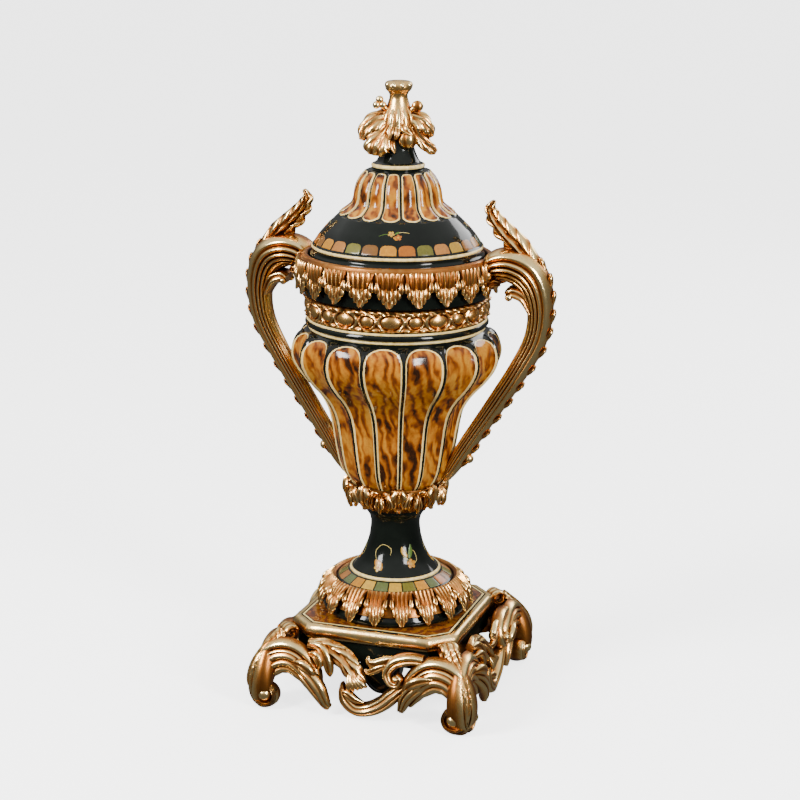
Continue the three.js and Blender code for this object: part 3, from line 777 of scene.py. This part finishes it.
stem_inlay = Inlay(STEM)
for k in range(3):
    spot = math.radians(-6 + 120 * k)
    stem_inlay.patch(spot, 10.5, leaf_outline((-7, 5), (2.5, -3.6), 4.0, 0.6), AMBER)
    stem_inlay.flower(spot, 10.5, (-1.8, -1.6), (4.2, 1.4), (0.8, 0), STRAW, ORANGE, lift=0.3)
    stem_inlay.stroke(spot, 10.5, [(-5, 4), (-7.5, 13), (-1, 20), (7, 17), (7.5, 11)], 0.7, PALE_STEM)
    spot += math.radians(50)
    stem_inlay.patch(spot, 18, leaf_outline((-1, 1), (-5.5, 11.5), 2.6, 0.8), STRAW)
    stem_inlay.patch(spot, 18, leaf_outline((0.5, -0.5), (3.4, 13), 2.4, -0.8), LEAF_GREEN)
    stem_inlay.flower(spot, 18, (1.6, -5), (4.6, 1.5), (0.3, 0), AMBER, STRAW, lift=0.3)
    stem_inlay.patch(spot, 18, leaf_outline((0, -2), (-5.5, 2.6), 1.5), OLIVE)
    stem_inlay.stroke(spot, 18, [(4, -6), (8, -2), (7, 5), (3.5, 8)], 0.6, PALE_STEM)
stem_inlay.finish("stem_inlay", "lacquered_wood")


# ---- plinth

PLINTH_HALF, CUT = 72.0, 17.2


def octagon(half, z):
    cut = CUT + (half - PLINTH_HALF) * (2 - math.sqrt(2))
    corners = [[half, cut - half], [half, half - cut], [half - cut, half], [cut - half, half],
               [-half, half - cut], [-half, cut - half], [cut - half, -half], [half - cut, -half]]
    return np.array([[x, y, z] for x, y in corners])


def octagonal(levels, split):
    """Rings of an octagon at [half side, height] levels, each side cut in `split`."""
    rings = []
    for half, z in levels:
        corners = octagon(half, z)
        after = np.roll(corners, -1, axis=0)
        rings.append(np.concatenate([a + (b - a) * np.linspace(0, 1, split + 1)[:-1, None]
                                     for a, b in zip(corners, after)]))
    return np.stack(rings)


PLINTH_LEVELS = [
    [60, 46], [73.8, 46], [74.5, 46.7], [74.5, 63], [74, 63.6], [72, 63.7], [71.9, 76.8], [71.5, 77.4],
    [70.9, 77.5], [70.7, 77.55], [69.4, 77.55], [69.2, 77.5], [68.5, 77.5], [68.3, 77.45], [40, 77.45],
    [20, 77.45]]
plinth_shell = Shell()
plinth_grid = octagonal(PLINTH_LEVELS, 6)
plinth_shell.loop_grid(plinth_grid, 0.0)
wide = plinth_grid.shape[1]
level_finish = [0, 0, 0, 0, 0, 0, 0, 0, 1, 1, 1, 0, 0, 2, 2]
plinth_material = [m for m in level_finish for _ in range(wide)] + [0] * wide + [2] * wide
panel = Shell()
t = np.linspace(np.pi, 2 * np.pi, 25)
rings = []
for depth, shrink in ((60, 0), (73.4, 0), (74.5, 1.1), (74.5, 2.6), (73.9, 3.4), (73.9, 9)):
    across, down = 11 + (19 - shrink) * np.cos(t), 47 + (29 - shrink) * np.sin(t)
    half_disc = np.stack([across, np.full(25, -float(depth)), down], axis=1)
    rings.append(np.vstack([half_disc, [[x, -depth, 47.5] for x in (21, 11, 1)]]))
panel.loop_grid(np.stack(rings), 0.0)
plinth_shell.around(panel, 4)
plinth_material += [0] * (4 * len(panel.faces))
add_piece("plinth_body", ["plinth"], "inlaid_wood", plinth_shell, [LACQUER, CREAM_LINE, VENEER],
           face_material=plinth_material, sharp=30)

moulding = Shell()
profile = [[0.4, -6.6], [2.5, -6.7]] + [[2.6 + 4.6 * math.cos(t), 6.7 * math.sin(t)]
                                       for t in np.linspace(-1.45, 1.45, 17)] + [[2.5, 6.7], [0.4, 6.6]]
frame_rings = octagonal([[PLINTH_HALF + out, 70.8 + up] for out, up in profile], 10)
moulding.wrapped_grid(frame_rings, 0.12)
add_gilt("moulding", "plinth_moulding", moulding)


# ---- scroll base

FRONT = (0, -1, 0)
LEFT_SCROLL = [
    [-43, -92, 20, 6, 5], [-46, -92, 28, 10, 7], [-52, -91, 38.5, 14, 8.5], [-66, -90, 49, 17, 9],
    [-81, -90, 48, 17, 9.5], [-92.5, -91, 38, 14, 10], [-99.5, -92, 27, 9.5, 10],
    [-101.3, -93, 16, 6.4, 10], [-97.5, -94, 8, 5.4, 10], [-90.5, -95, 4.9, 4.5, 10],
    [-82.8, -96, 7.6, 3.6, 9], [-80.2, -97, 15, 3.1, 8], [-84, -97.5, 21.6, 2.7, 7],
    [-90.5, -98, 22.3, 1.8, 6]]
RIGHT_SCROLL = [[-x, y, z, half, thick] for x, y, z, half, thick in LEFT_SCROLL]
CURL = [
    [58, -89, 62, 5, 6], [44, -89, 61.5, 6, 6.5], [31, -90, 57, 6, 7], [25, -92, 48, 5, 7],
    [28.5, -94, 40, 4.2, 6.5], [35, -95, 39, 3.4, 6], [38, -95, 44.5, 2.8, 6], [34.5, -96, 48.5, 2, 5]]
LOW_SCROLL = [
    [-17, -95, 33, 1.6, 4], [-16.5, -94, 25, 4.2, 6], [-13.5, -93, 16.5, 6.6, 7.5], [-4, -93, 9.6, 6.6, 8],
     [8, -92, 10.5, 7, 8], [20, -92, 17, 7.4, 8], [30, -91, 26, 7.2, 8], [40, -90, 35, 6, 7],
    [52, -89, 42, 4, 5]]
FACE_LEAF = [
    [-52, -88, 64, 4.5, 5], [-34, -86, 61, 8.5, 6], [-18, -88, 53, 11, 7], [-7, -91, 42, 10, 7],
    [-2, -94, 33, 8, 5], [-1, -95, 29, 3, 3]]
CORNER_ROLL = [
    [86, -86, 60, 4, 5], [91, -91, 53, 5, 5.6], [97, -97, 43, 5, 5.6], [100.6, -100.6, 30, 4.8, 5.4],
    [100, -100, 18, 4.4, 5], [95.6, -95.6, 9, 4, 4.4], [90, -90, 5.4, 3.6, 3.6]]
CORNER_LEAF = [
    [80, -80, 70, 8, 4], [84.5, -84.5, 63, 9, 5], [91.5, -91.5, 53, 8, 5.6], [98, -98, 42, 6, 5.4],
    [101.4, -101.4, 31, 3.8, 4.6], [102.4, -102.4, 22, 1.2, 3]]


def base_face():
    face = Shell()
    arch_ribs = (-1, -0.5, -0.3, 0.1, 0.52, 1)
    band(face, LEFT_SCROLL, FRONT, arch_ribs, rows=84, cols=33, depth=0.36)
    band(face, RIGHT_SCROLL, FRONT, [-v for v in arch_ribs[::-1]], rows=84, cols=33, depth=0.36)
    for eye in (-89.6, 89.6):
        ball(face, (eye, -100.5, 15.5), (6.8, 8.4, 6.8), rows=14, cols=24)
    ball(face, (34, -97, 44.5), (3, 5, 3), rows=10, cols=16)
    band(face, CORNER_ROLL, (1, -1, 0), (-1, 1), rows=32, cols=15)
    band(face, LOW_SCROLL, FRONT, (-1, -0.35, 0.25, 1), rows=60, cols=21, depth=0.3)
    band(face, CURL, FRONT, (-1, 0.1, 1), rows=56, cols=17, depth=0.3)
    leaf(face, FACE_LEAF, FRONT, lobes=5, rows=48, cols=23, notch=0.16, lean=2.2, rib=0.34)
    for stops in ([[-60, -92, 42, 7, 5], [-50, -96, 36, 8.5, 6], [-41, -98, 27, 9, 6.4],
                   [-35.5, -98, 18, 7, 5.6], [-32, -97, 11, 5, 4.6], [-29, -96, 8, 3.4, 3.6]],
                  [[60, -92, 42, 7, 5], [51, -95, 36, 7.5, 6], [43.5, -96, 27, 6.6, 6],
                   [40, -96, 18, 4.6, 5], [38.6, -96, 14, 3.4, 4]]):
        band(face, stops, FRONT, (-1, -0.3, 0.35, 1), rows=36, cols=21, depth=0.3)
    for stops in ([[-66, -95, 47, 3, 4], [-55, -99, 47, 5, 5], [-46, -100, 42, 5, 5], [-43, -98, 36, 3, 4]],
                   [[-50, -90, 64, 4, 4], [-39, -91, 62, 5.5, 5.5], [-32, -93, 52, 5.5, 6],
                    [-29.5, -94, 42, 4.5, 5], [-29, -93, 37, 2, 4]],
                  [[-50, -92, 56, 3, 4], [-42, -95, 56, 4.5, 5], [-38, -96, 49, 4, 5],
                   [-41, -96, 44, 2.5, 4]], [[34, -90, 61, 4, 4], [24, -90, 57, 6, 5],
                                             [14, -91, 53.5, 5.5, 5], [7.5, -92, 55.5, 3.6, 4.4],
                                             [6.5, -92, 60.5, 2, 3]],
                  [[26, -91, 55, 3, 4], [16, -92, 50, 4, 4.4], [8, -92, 46, 3.4, 4], [3, -92, 47, 2, 3]],
                  [[-20, -95, 24, 2, 3], [-12, -97, 25, 3.6, 5], [-4, -97, 20, 3.6, 5], [4, -96, 17, 2, 3]],
                   [[70, -94, 47, 3, 4], [58, -98, 46, 5, 5], [48, -99, 41, 5, 5], [43, -97, 34, 3, 4]]):
        petal(face, stops, FRONT, rows=16, cols=11)
    for k in range(5):
        spread = -6 + 3.2 * k
        petal(face, [[-8 + 0.5 * spread, -95, 41, 2, 3], [-4 + spread, -97.5, 34 + 0.25 * spread, 2.6, 3.6],
                     [-2 + 1.35 * spread, -97, 28.5 + 0.6 * spread, 1.8, 2.6]], FRONT, groove=0.1)
    leaf(face, CORNER_LEAF, (1, -1, 0.35), lobes=9, rows=54, cols=21, notch=0.2, lean=1.4, rib=0.4)
    curl = []
    for degrees, r, half in ((215, 7, 7), (150, 6.4, 8.4), (90, 6, 8.8), (30, 6, 8.6), (-30, 5.8, 8.2),
                             (-90, 5, 7.6), (-150, 4, 7), (-210, 3, 6.4), (-270, 2, 6)):
        a = math.radians(degrees)
        out = r * math.cos(a) / math.sqrt(2)
        curl.append([76 + out, -76 - out, 68 + r * math.sin(a), half, 2.0])
    band(face, curl, (1, -1, 0), (-1, -0.33, 0.33, 1), rows=44, cols=19, depth=0.3, both=True,
         sideways=(1, 1, 0))
    foot = Shell()
    ring(foot, [[0.8, 0.05], [6.2, 0.05], [7, 0.8], [7, 5], [5.5, 7], [0.8, 7]], 24, 0.4)
    face.copies(foot, [lambda p: p + np.array([93, -93, 0])])
    pad = Shell()
    pad.loop_grid(np.array([[[x, y, z] for x, y in ((84, -14), (112, -14), (116, 0), (112, 14), (84, 14))]
                            for z in (38.8, 45.6)], float), 0.9)
    face.around(pad, 1, -45)
    return face


base = Shell()
base.around(base_face(), 4)
base.points = [np.maximum(np.vstack(base.points), [-200, -200, 0.05])]
add_gilt("base_mount", "scroll_base", base)


# ---- collars and frieze

FLUTES = 5  # hollows across the top of each leaf of a collar


def fringe(profile, pitch):
    """One hanging leaf of a collar: a fluted web and the curled lobes under it.

    `profile` holds [radius, height] from the leaf's top to its tip, and `pitch` is its width at the top.
    """
    made = Shell()
    rows = dense(profile, 0.5)
    tangent = unit(np.gradient(rows, axis=0))
    s = arc_lengths(rows)
    long = s[-1]

    def lay(x, way, lift):
        r, z, tr, tz = (np.interp(way, s, v) for v in (*rows.T, *tangent.T))
        r, z = r - tz * lift, z + tr * lift
        return about_axis(r, x / r, z)

    u = np.linspace(1, -1, 6 * FLUTES + 1)[None]
    t = np.linspace(0, 1, 16)[:, None]
    hollow = ribs(u, np.linspace(-1, 1, FLUTES + 1), 0.8)
    way = t * long * (0.66 - 0.22 * np.abs(u) ** 1.3)
    x = u * 0.5 * pitch * (1 - 0.14 * t)
    lift = 2.6 + 0.9 * t - 1.9 * hollow * np.clip(1.3 - 0.5 * t, 0, 1) * np.clip(3 * t + 0.3, 0, 1)
    front, rear = lay(x, way, lift), lay(x, way, np.full_like(lift, -0.2))
    deep = np.clip(0.92 * hollow * (1.15 - 0.4 * t), 0, 1)
    # Painted shade: the web's back gets a recess of 0.8, so the gilt colours it dark.
    made.loop_grid(np.concatenate([front, rear[:, ::-1]], axis=1),
                   np.concatenate([deep, np.full_like(deep, 0.8)], axis=1))
    for place, top, tip, reach, half in ((0, 0.45, 1.0, 0, 0.15), (0.3, 0.45, 0.88, 0.25, 0.135),
                                         (0.62, 0.38, 0.70, 0.58, 0.125), (0.88, 0.24, 0.50, 0.86, 0.10)):
        for flip in ((1, -1) if place else (1,)):
            stops = []
            for part, out, wide in ((0, 1.4, 0.75), (0.45, 3.0, 1.0), (0.8, 3.6, 1.15), (1.0, 4.6, 1.0)):
                at = lay(np.array(flip * 0.5 * pitch * (place + (reach - place) * part)),
                         long * (top + (tip - top) * part), out)
                stops.append([*at, pitch * half * wide, 2.3 * wide])
            petal(made, stops, (0, -1, 0.2), groove=0.42)
    return made


foot_collar = Shell()
ring(foot_collar, [[54.3, 105.4], [54.6, 107.2], [56, 108], [58, 107], [61, 101], [65.6, 92], [66.8, 88],
                   [62, 94], [57, 103]], 108, 0.7)
foot_collar.around(fringe([[56, 107.4], [60, 104.6], [64.2, 99], [66.4, 92], [67, 86], [67.4, 81]], 20.2),
                   FOOT_LEAVES, 23.8)
add_gilt("foot_leaves", "foot_collar", foot_collar)

calyx = Shell()
ring(calyx, [[31.5, 189], [41, 199.2], [43, 199.5], [43.5, 196], [41, 187], [34, 177], [29.2, 174.6],
             [29.2, 178]], 96, 0.75)
tongue = Shell()
leaf(tongue, [[0, -38, 199, 5, 2], [0, -44, 199.5, 7.6, 2.6], [0, -45, 192, 8, 3], [0, -42, 184, 6, 2.6],
              [0, -43, 179, 2, 1.6]], (0, -1, 0.2), lobes=3, rows=26, cols=19, notch=0.3, rib=0.5)
calyx.around(tongue, 8, 22.5)
blossom = Shell()
ball(blossom, (0, -43.2, 188), (5.2, 3.8, 6.6), rows=12, cols=20, recess=0.1)
leaf(blossom, [[0, -40, 196, 3, 2], [0, -45.4, 192, 4.4, 2], [0, -46.2, 185, 4.4, 2.2],
               [0, -44, 178.6, 1.5, 1.6]], (0, -1, 0), lobes=2, rows=20, cols=15, rib=0.5)
for flip in (1, -1):
    leaf(blossom, [[flip * 2, -41, 195, 2.4, 2], [flip * 7, -44.5, 195, 3.6, 2.4],
                   [flip * 9.5, -43.5, 187, 3.4, 2.4], [flip * 6.4, -43.5, 180.5, 1.6, 1.6]], (0, -1, 0),
          lobes=2, rows=20, cols=13, rib=0.45)
calyx.around(blossom, 8)
add_gilt("calyx_leaves", "calyx_collar", calyx)

rim = Shell()
ring(rim, [[79.4, 406.6]] + arc((82.3, 407.2), 2.9, 165, 10, 9) + [[86.6, 406.4], [88.6, 403], [89, 398],
                                                                   [87, 391], [85.6, 389], [85.3, 398],
                                                                   [83.8, 402.8]], 132, 0.7)
rim.around(fringe([[86.4, 405.6], [88.2, 402], [88.2, 396], [86.6, 389], [85.4, 382], [85.8, 376.6]], 24.2),
           RIM_LEAVES, 14.3)
add_gilt("rim_leaves", "rim_collar", rim)


FRIEZE_LOW, FRIEZE_HIGH, FRIEZE_MIDDLE, FRIEZE_RADIUS, FRIEZE_INSIDE = 353.3, 373.0, 362.2, 80.5, 77.1


def frieze_surface(angle, z):
    """Radius and recess of the frieze at an angle and a height."""
    radius = np.full(np.broadcast(angle, z).shape, FRIEZE_RADIUS)
    # The recess set here is painted shade in the gilt: 0.85 on the ground, 1.0 in the ring round each boss,
    # 0.3 on the bosses, and lower on the crests of the beads and rope.
    deep = np.full_like(radius, 0.85)
    for start, half, rise in ((15, (11.4, 7.6), 3.3), (0, (7.4, 6.6), 2.6)):
        across = (np.mod(angle - math.radians(start) + math.pi / 12, math.pi / 6) - math.pi / 12) * 81
        far = np.hypot(across / half[0], (z - FRIEZE_MIDDLE) / half[1])
        boss = rise * np.sqrt(np.clip(1 - (far / 0.8) ** 2, 0, 1))
        border = 1.9 * bell(far - 0.98, 0.12)
        radius += np.maximum(boss, border)
        deep = np.where(far < 0.76, 0.3, np.where(far < 0.88, 1.0, np.where(far < 1.1, 0.0, deep)))
    bead = np.abs(np.cos(36 * angle))
    lower = bell(z - 354.9, 1.5) * (0.8 + 0.9 * bead)
    rope = np.abs(np.cos(34 * angle + 0.55 * (z - 370)))
    upper = bell(z - 370.2, 2.2) * (1.7 + 1.2 * rope)
    radius += lower + upper
    deep = np.where(z < 356.4, 0.8 - 0.7 * bead, np.where(z > 367.8, 0.85 - 0.75 * rope, deep))
    edge = np.minimum(z - FRIEZE_LOW, FRIEZE_HIGH - z)
    return radius * (1 - 0.012 * np.clip(1 - edge / 0.8, 0, 1)), deep


band_angles = np.linspace(0, 2 * np.pi, 577)[:-1][:, None]
band_heights = np.linspace(FRIEZE_LOW + 0.05, FRIEZE_HIGH - 0.05, 40)
band_heights = np.append(band_heights, band_heights[[-1, 0]])[None]
band_radius, band_deep = frieze_surface(band_angles, band_heights)
band_radius[:, -2:] = FRIEZE_INSIDE
frieze = Shell()
frieze.wrapped_grid(about_axis(band_radius, band_angles, band_heights), band_deep)
add_gilt("frieze", "frieze_band", frieze)


# ---- handles

HANDLE_BAR = [
    [84.5, 0, 396, 8, 13], [92, 0, 403.5, 13.5, 18.5], [106, 0, 405.5, 15.5, 20], [120.5, 0, 399, 16, 18],
    [129.5, 0, 384, 14, 14.5], [132.5, 0, 362, 11.5, 11], [128, 0, 338, 10.5, 9.5], [114, 0, 311, 9.5, 9],
    [98, 0, 285, 9, 8.5], [82, 0, 260, 8.5, 8], [66.5, 0, 236, 8, 8], [55, 0, 217, 7, 7.5],
    [47, 0, 204, 4.5, 5.5]]
HANDLE_LEAF = [
    [126, 0, 404, 9, 8], [113, 0, 420, 10.5, 7.5], [100, 0, 432, 10, 6.5], [89.5, 0, 444, 8, 5],
    [85.5, 0, 454, 5.5, 4], [89, 0, 461, 1.5, 2]]
HANDLE_TIP = [[126, 0, 364, 4, 10], [119, 0, 377, 6, 12], [110, 0, 381.5, 6.5, 12], [103.5, 0, 379.5, 5, 12]]


def handle():
    side = Shell()
    bar_ribs = (-1, -0.36, 0.0, 0.3, 0.56, 0.78, 1)
    band(side, HANDLE_BAR, FRONT, [-v for v in bar_ribs[::-1]], rows=150, cols=41, depth=0.26, both=True,
          fade=0.5)
    leaf(side, HANDLE_LEAF, FRONT, lobes=6, rows=72, cols=31, notch=0.34, lean=1.2, both=True, rib=0.4,
          plain_side=-1)
    band(side, HANDLE_TIP, FRONT, (-1, -0.1, 1), rows=28, cols=15, depth=0.3, both=True)
    bar = spline(HANDLE_BAR, 60)
    along, across, _ = axes_along(bar[:, :3], FRONT)
    outward = across * np.sign(across[30, 0])
    for k, i in enumerate(range(9, 54, 3)):
        root = bar[i, :3] + outward[i] * bar[i, 3] * 0.72
        tip = bar[i, :3] + outward[i] * bar[i, 3] * 1.12 - along[i] * 3
        stops = [[*(root + along[i] * 9), 2.6, 3.2], [*(0.4 * root + 0.6 * tip + along[i] * 3), 3.4, 4.0],
                 [*tip, 1.3, 2.0]]
        leaf(side, stops, FRONT, lobes=2, rows=12, cols=11, notch=0.2, both=True, rib=0.4)
    for y in (-1, 1):
        ball(side, (86.5, y * 13.5, 397), (5.2, 4.5, 5.2), rows=12, cols=20)
        for stops in ([[98, y * 9, 390, 3, 4], [90, y * 11, 388.5, 4.5, 5], [84.5, y * 11, 383, 4, 4.5],
                       [81.5, y * 9, 380, 1.5, 2]],
                      [[91, y * 15, 403, 2.5, 3], [84.8, y * 14, 405, 3, 3.5], [82.2, y * 12, 399, 3, 3.5],
                       [84, y * 12, 392, 2, 2.5]]):
            leaf(side, stops, (0, y, 0), lobes=2, rows=16, cols=13, notch=0.2, rib=0.4)
        ball(side, (106, y * 9.5, 377.8), (3.4, 3.6, 3.4), rows=10, cols=16)
    ball(side, (69.5, 0, 225), (4.4, 4.4, 4.4), rows=12, cols=20)
    return side


right = handle()
add_gilt("handle_mount_right", "handle_right", right)
left = Shell()
left.around(right, 1, 180)
add_gilt("handle_mount_left", "handle_left", left)


# ---- finial

finial = Shell()
ring(finial, [[0.6, 510.4], [12, 510.4], [15, 516], [15.6, 522], [13.6, 531], [10.4, 539], [8.2, 546],
              [7.9, 549], [9.2, 551.6], [11.2, 553.6], [12, 556], [11.4, 559], [9.6, 561], [7, 561.4],
              [4, 560], [0.6, 559.6]], 60, 0.25)
for k in range(9):
    a = 2 * math.pi * k / 9 + 0.3
    ball(finial, about_axis(10.2, a, 557.4), (2.3, 2.3, 3.2), rows=8, cols=12)
for k in range(14):
    a = 2 * math.pi * k / 14
    stops = [[*about_axis(r, a, z), half, thick]
             for r, z, half, thick in ((9, 539, 1, 0.8), (13.2, 531, 2.6, 2), (15.4, 521, 2, 1.6))]
    band(finial, stops, about_axis(1, a, 0.3), rows=16, cols=9, depth=0.2)
FINIAL_LEAVES = [((-0.5, -0.8, 0.5), [[-5, -3, 531, 6, 3], [-18, -6, 528, 8.5, 3.4],
                                      [-28, -7, 520, 7.5, 3.4], [-32, -8, 510, 2.5, 2]]),
                 ((-0.3, -1, 0.1), [[-6, -7, 526, 4, 3], [-14, -13, 514, 8, 4],
                                    [-19, -15.5, 505, 10.5, 4.6], [-20, -15, 498, 6, 3]]),
                 ((0.4, -0.8, 0.6), [[5, -4, 532, 6, 3], [18, -6, 528, 8.5, 3.4], [26, -5, 520, 6.5, 3.4],
                                     [29, -4, 513, 2.5, 2]]),
                 ((0.5, -0.8, 0.4), [[9, -7, 525, 4, 3], [19, -9, 512, 5.5, 3.6], [28, -8, 503.5, 5, 3.6],
                                     [33, -7, 500, 2.5, 2.5]]),
                 ((-0.4, 0.5, 0.7), [[-3, 3, 531, 6, 3], [-12, 15, 529, 8, 3], [-17, 23, 521, 7, 3],
                                     [-19, 27, 508, 2.5, 2]]),
                 ((0.4, 0.5, 0.7), [[3, 3, 531, 6, 3], [13, 14, 529, 8, 3], [19, 21, 521, 7, 3],
                                    [21, 25, 509, 2.5, 2]]),
                 ((0, 1, 0.3), [[0, 5, 525, 5, 3], [1, 15, 514, 8, 4], [0, 19, 505, 9, 4],
                                [0, 20, 498, 5, 3]]),]
for face, stops in FINIAL_LEAVES:
    leaf(finial, [[*p, h * 1.25, t] for *p, h, t in stops], face, lobes=3, rows=40, cols=27, notch=0.16,
          lean=1.8, both=True, rib=0.3)
for stops in ([[-4, -11, 524, 3, 3], [-7, -15, 518, 3.6, 3], [-8, -17, 511, 2, 2]],
              [[0, -12, 524, 2.5, 3], [-1, -17, 517, 3, 3], [-3, -18, 512, 1.6, 2]],
              [[3, -12, 525, 3, 3], [6, -17, 520, 3.6, 3], [12, -19, 516, 2, 2]],
              [[-4, -11, 513, 2, 2.4], [-5, -14.5, 506, 3, 3], [-3, -16, 500, 2, 2]]):
    petal(finial, stops, (0, -1, 0.2), rows=16, cols=13)
ball(finial, (8, -13, 511.5), (8.6, 7, 8.6), lobes=5, depth=0.12, rows=16, cols=40)
for k in range(3):
    a = math.radians(90 + 120 * k)
    ball(finial, (-16.5 + 3.2 * math.cos(a), -5, 542 + 3.2 * math.sin(a)), (3.4, 3, 3.4), rows=10, cols=18)
band(finial, [[-8, -2, 534, 3, 3], [-13, -4, 539, 3, 3], [-16, -4, 542, 2.4, 2.4]], (0, -1, 0.2), rows=12,
      cols=11)
ball(finial, (16.5, -4, 539.5), (5.2, 4.4, 5), lobes=2, depth=0.25, rows=14, cols=24)
band(finial, [[8, -2, 532, 3, 3], [12.5, -4, 537, 3, 3], [15, -4, 539, 2.4, 2.4]], (0, -1, 0.2), rows=12,
      cols=11)
turned_finial = Shell()
turned_finial.around(finial, 1, 18.5)
add_gilt("finial_foliage", "finial", turned_finial)


# ---- floor, light and camera

FLOOR_HALF = 40000
paper = Finish("floor_paper", Base_Color=(0.86, 0.86, 0.855, 1), Roughness=0.75,
               Emission_Color=(1, 1, 1, 1), Emission_Strength=2.8)
floor_corners = [[x * FLOOR_HALF, y * FLOOR_HALF, 0] for x, y in ((-1, -1), (1, -1), (1, 1), (-1, 1))]
floor = add_object("floor", floor_corners, [(0, 1, 2, 3)], [paper.material])
floor.visible_glossy = False
floor.visible_diffuse = False


def soft_light(name, place, aim, size, power):
    light = bpy.data.lights.new(name, "AREA")
    light.shape, light.size, light.size_y, light.energy = "RECTANGLE", size[0], size[1], power
    lamp = bpy.data.objects.new(name, light)
    bpy.context.scene.collection.objects.link(lamp)
    lamp.location = place
    lamp.rotation_euler = (Vector(aim) - Vector(place)).to_track_quat("-Z", "Y").to_euler()


AIM = (0, 0, 0.28)
soft_light("key", (-1.2, -1.5, 1.4), AIM, (0.55, 0.9), 84)
soft_light("fill", (1.7, -1.1, 1.0), AIM, (0.42, 0.9), 64)
soft_light("back", (0.9, 2.0, 1.3), AIM, (1.2, 0.8), 20)

# The sky that lights the urn: grey levels from straight down, 0, to straight up, 1.
SKY_LEVELS = (0.0, 0.12), (0.12, 0.18), (0.35, 0.32), (0.62, 1.2), (1.0, 2.8)
BACKDROP = (4.2, 4.2, 4.2)  # the level that the camera sees behind the urn
world = bpy.data.worlds.new("studio")
bpy.context.scene.world = world
world.use_nodes = True
studio = Nodes(world.node_tree)
direction = studio.node("ShaderNodeTexCoord").outputs["Generated"]
upward = studio.node("ShaderNodeSeparateXYZ", Vector=direction).outputs["Z"]
sky = studio.ramp(upward, *SKY_LEVELS, between="B_SPLINE")
seen = studio.node("ShaderNodeLightPath").outputs["Is Camera Ray"]
studio.link(studio.mix(seen, sky, BACKDROP), studio.tree.nodes["Background"].inputs["Color"])

AZIMUTH, ELEVATION, ROLL = math.radians(18.56), math.radians(14.56), math.radians(0.455)
DISTANCE, AIM_HEIGHT, AIM_RIGHT = 1.8416, 0.2734, 0.0033
right_of = Vector((math.cos(AZIMUTH), math.sin(AZIMUTH), 0))
back_of = Vector((math.sin(AZIMUTH) * math.cos(ELEVATION), -math.cos(AZIMUTH) * math.cos(ELEVATION),
                  math.sin(ELEVATION)))
up_of = back_of.cross(right_of)
rolled_right = right_of * math.cos(ROLL) + up_of * math.sin(ROLL)
rolled_up = back_of.cross(rolled_right)
lens = bpy.data.cameras.new("camera")
lens.lens, lens.sensor_width, lens.clip_end = 91.3, 36, 100
camera = bpy.data.objects.new("camera", lens)
bpy.context.scene.collection.objects.link(camera)
stand = Vector((0, 0, AIM_HEIGHT)) + right_of * AIM_RIGHT + back_of * DISTANCE
camera.matrix_world = (Matrix.Translation(stand)
                       @ Matrix((rolled_right, rolled_up, back_of)).transposed().to_4x4())
bpy.context.scene.camera = camera
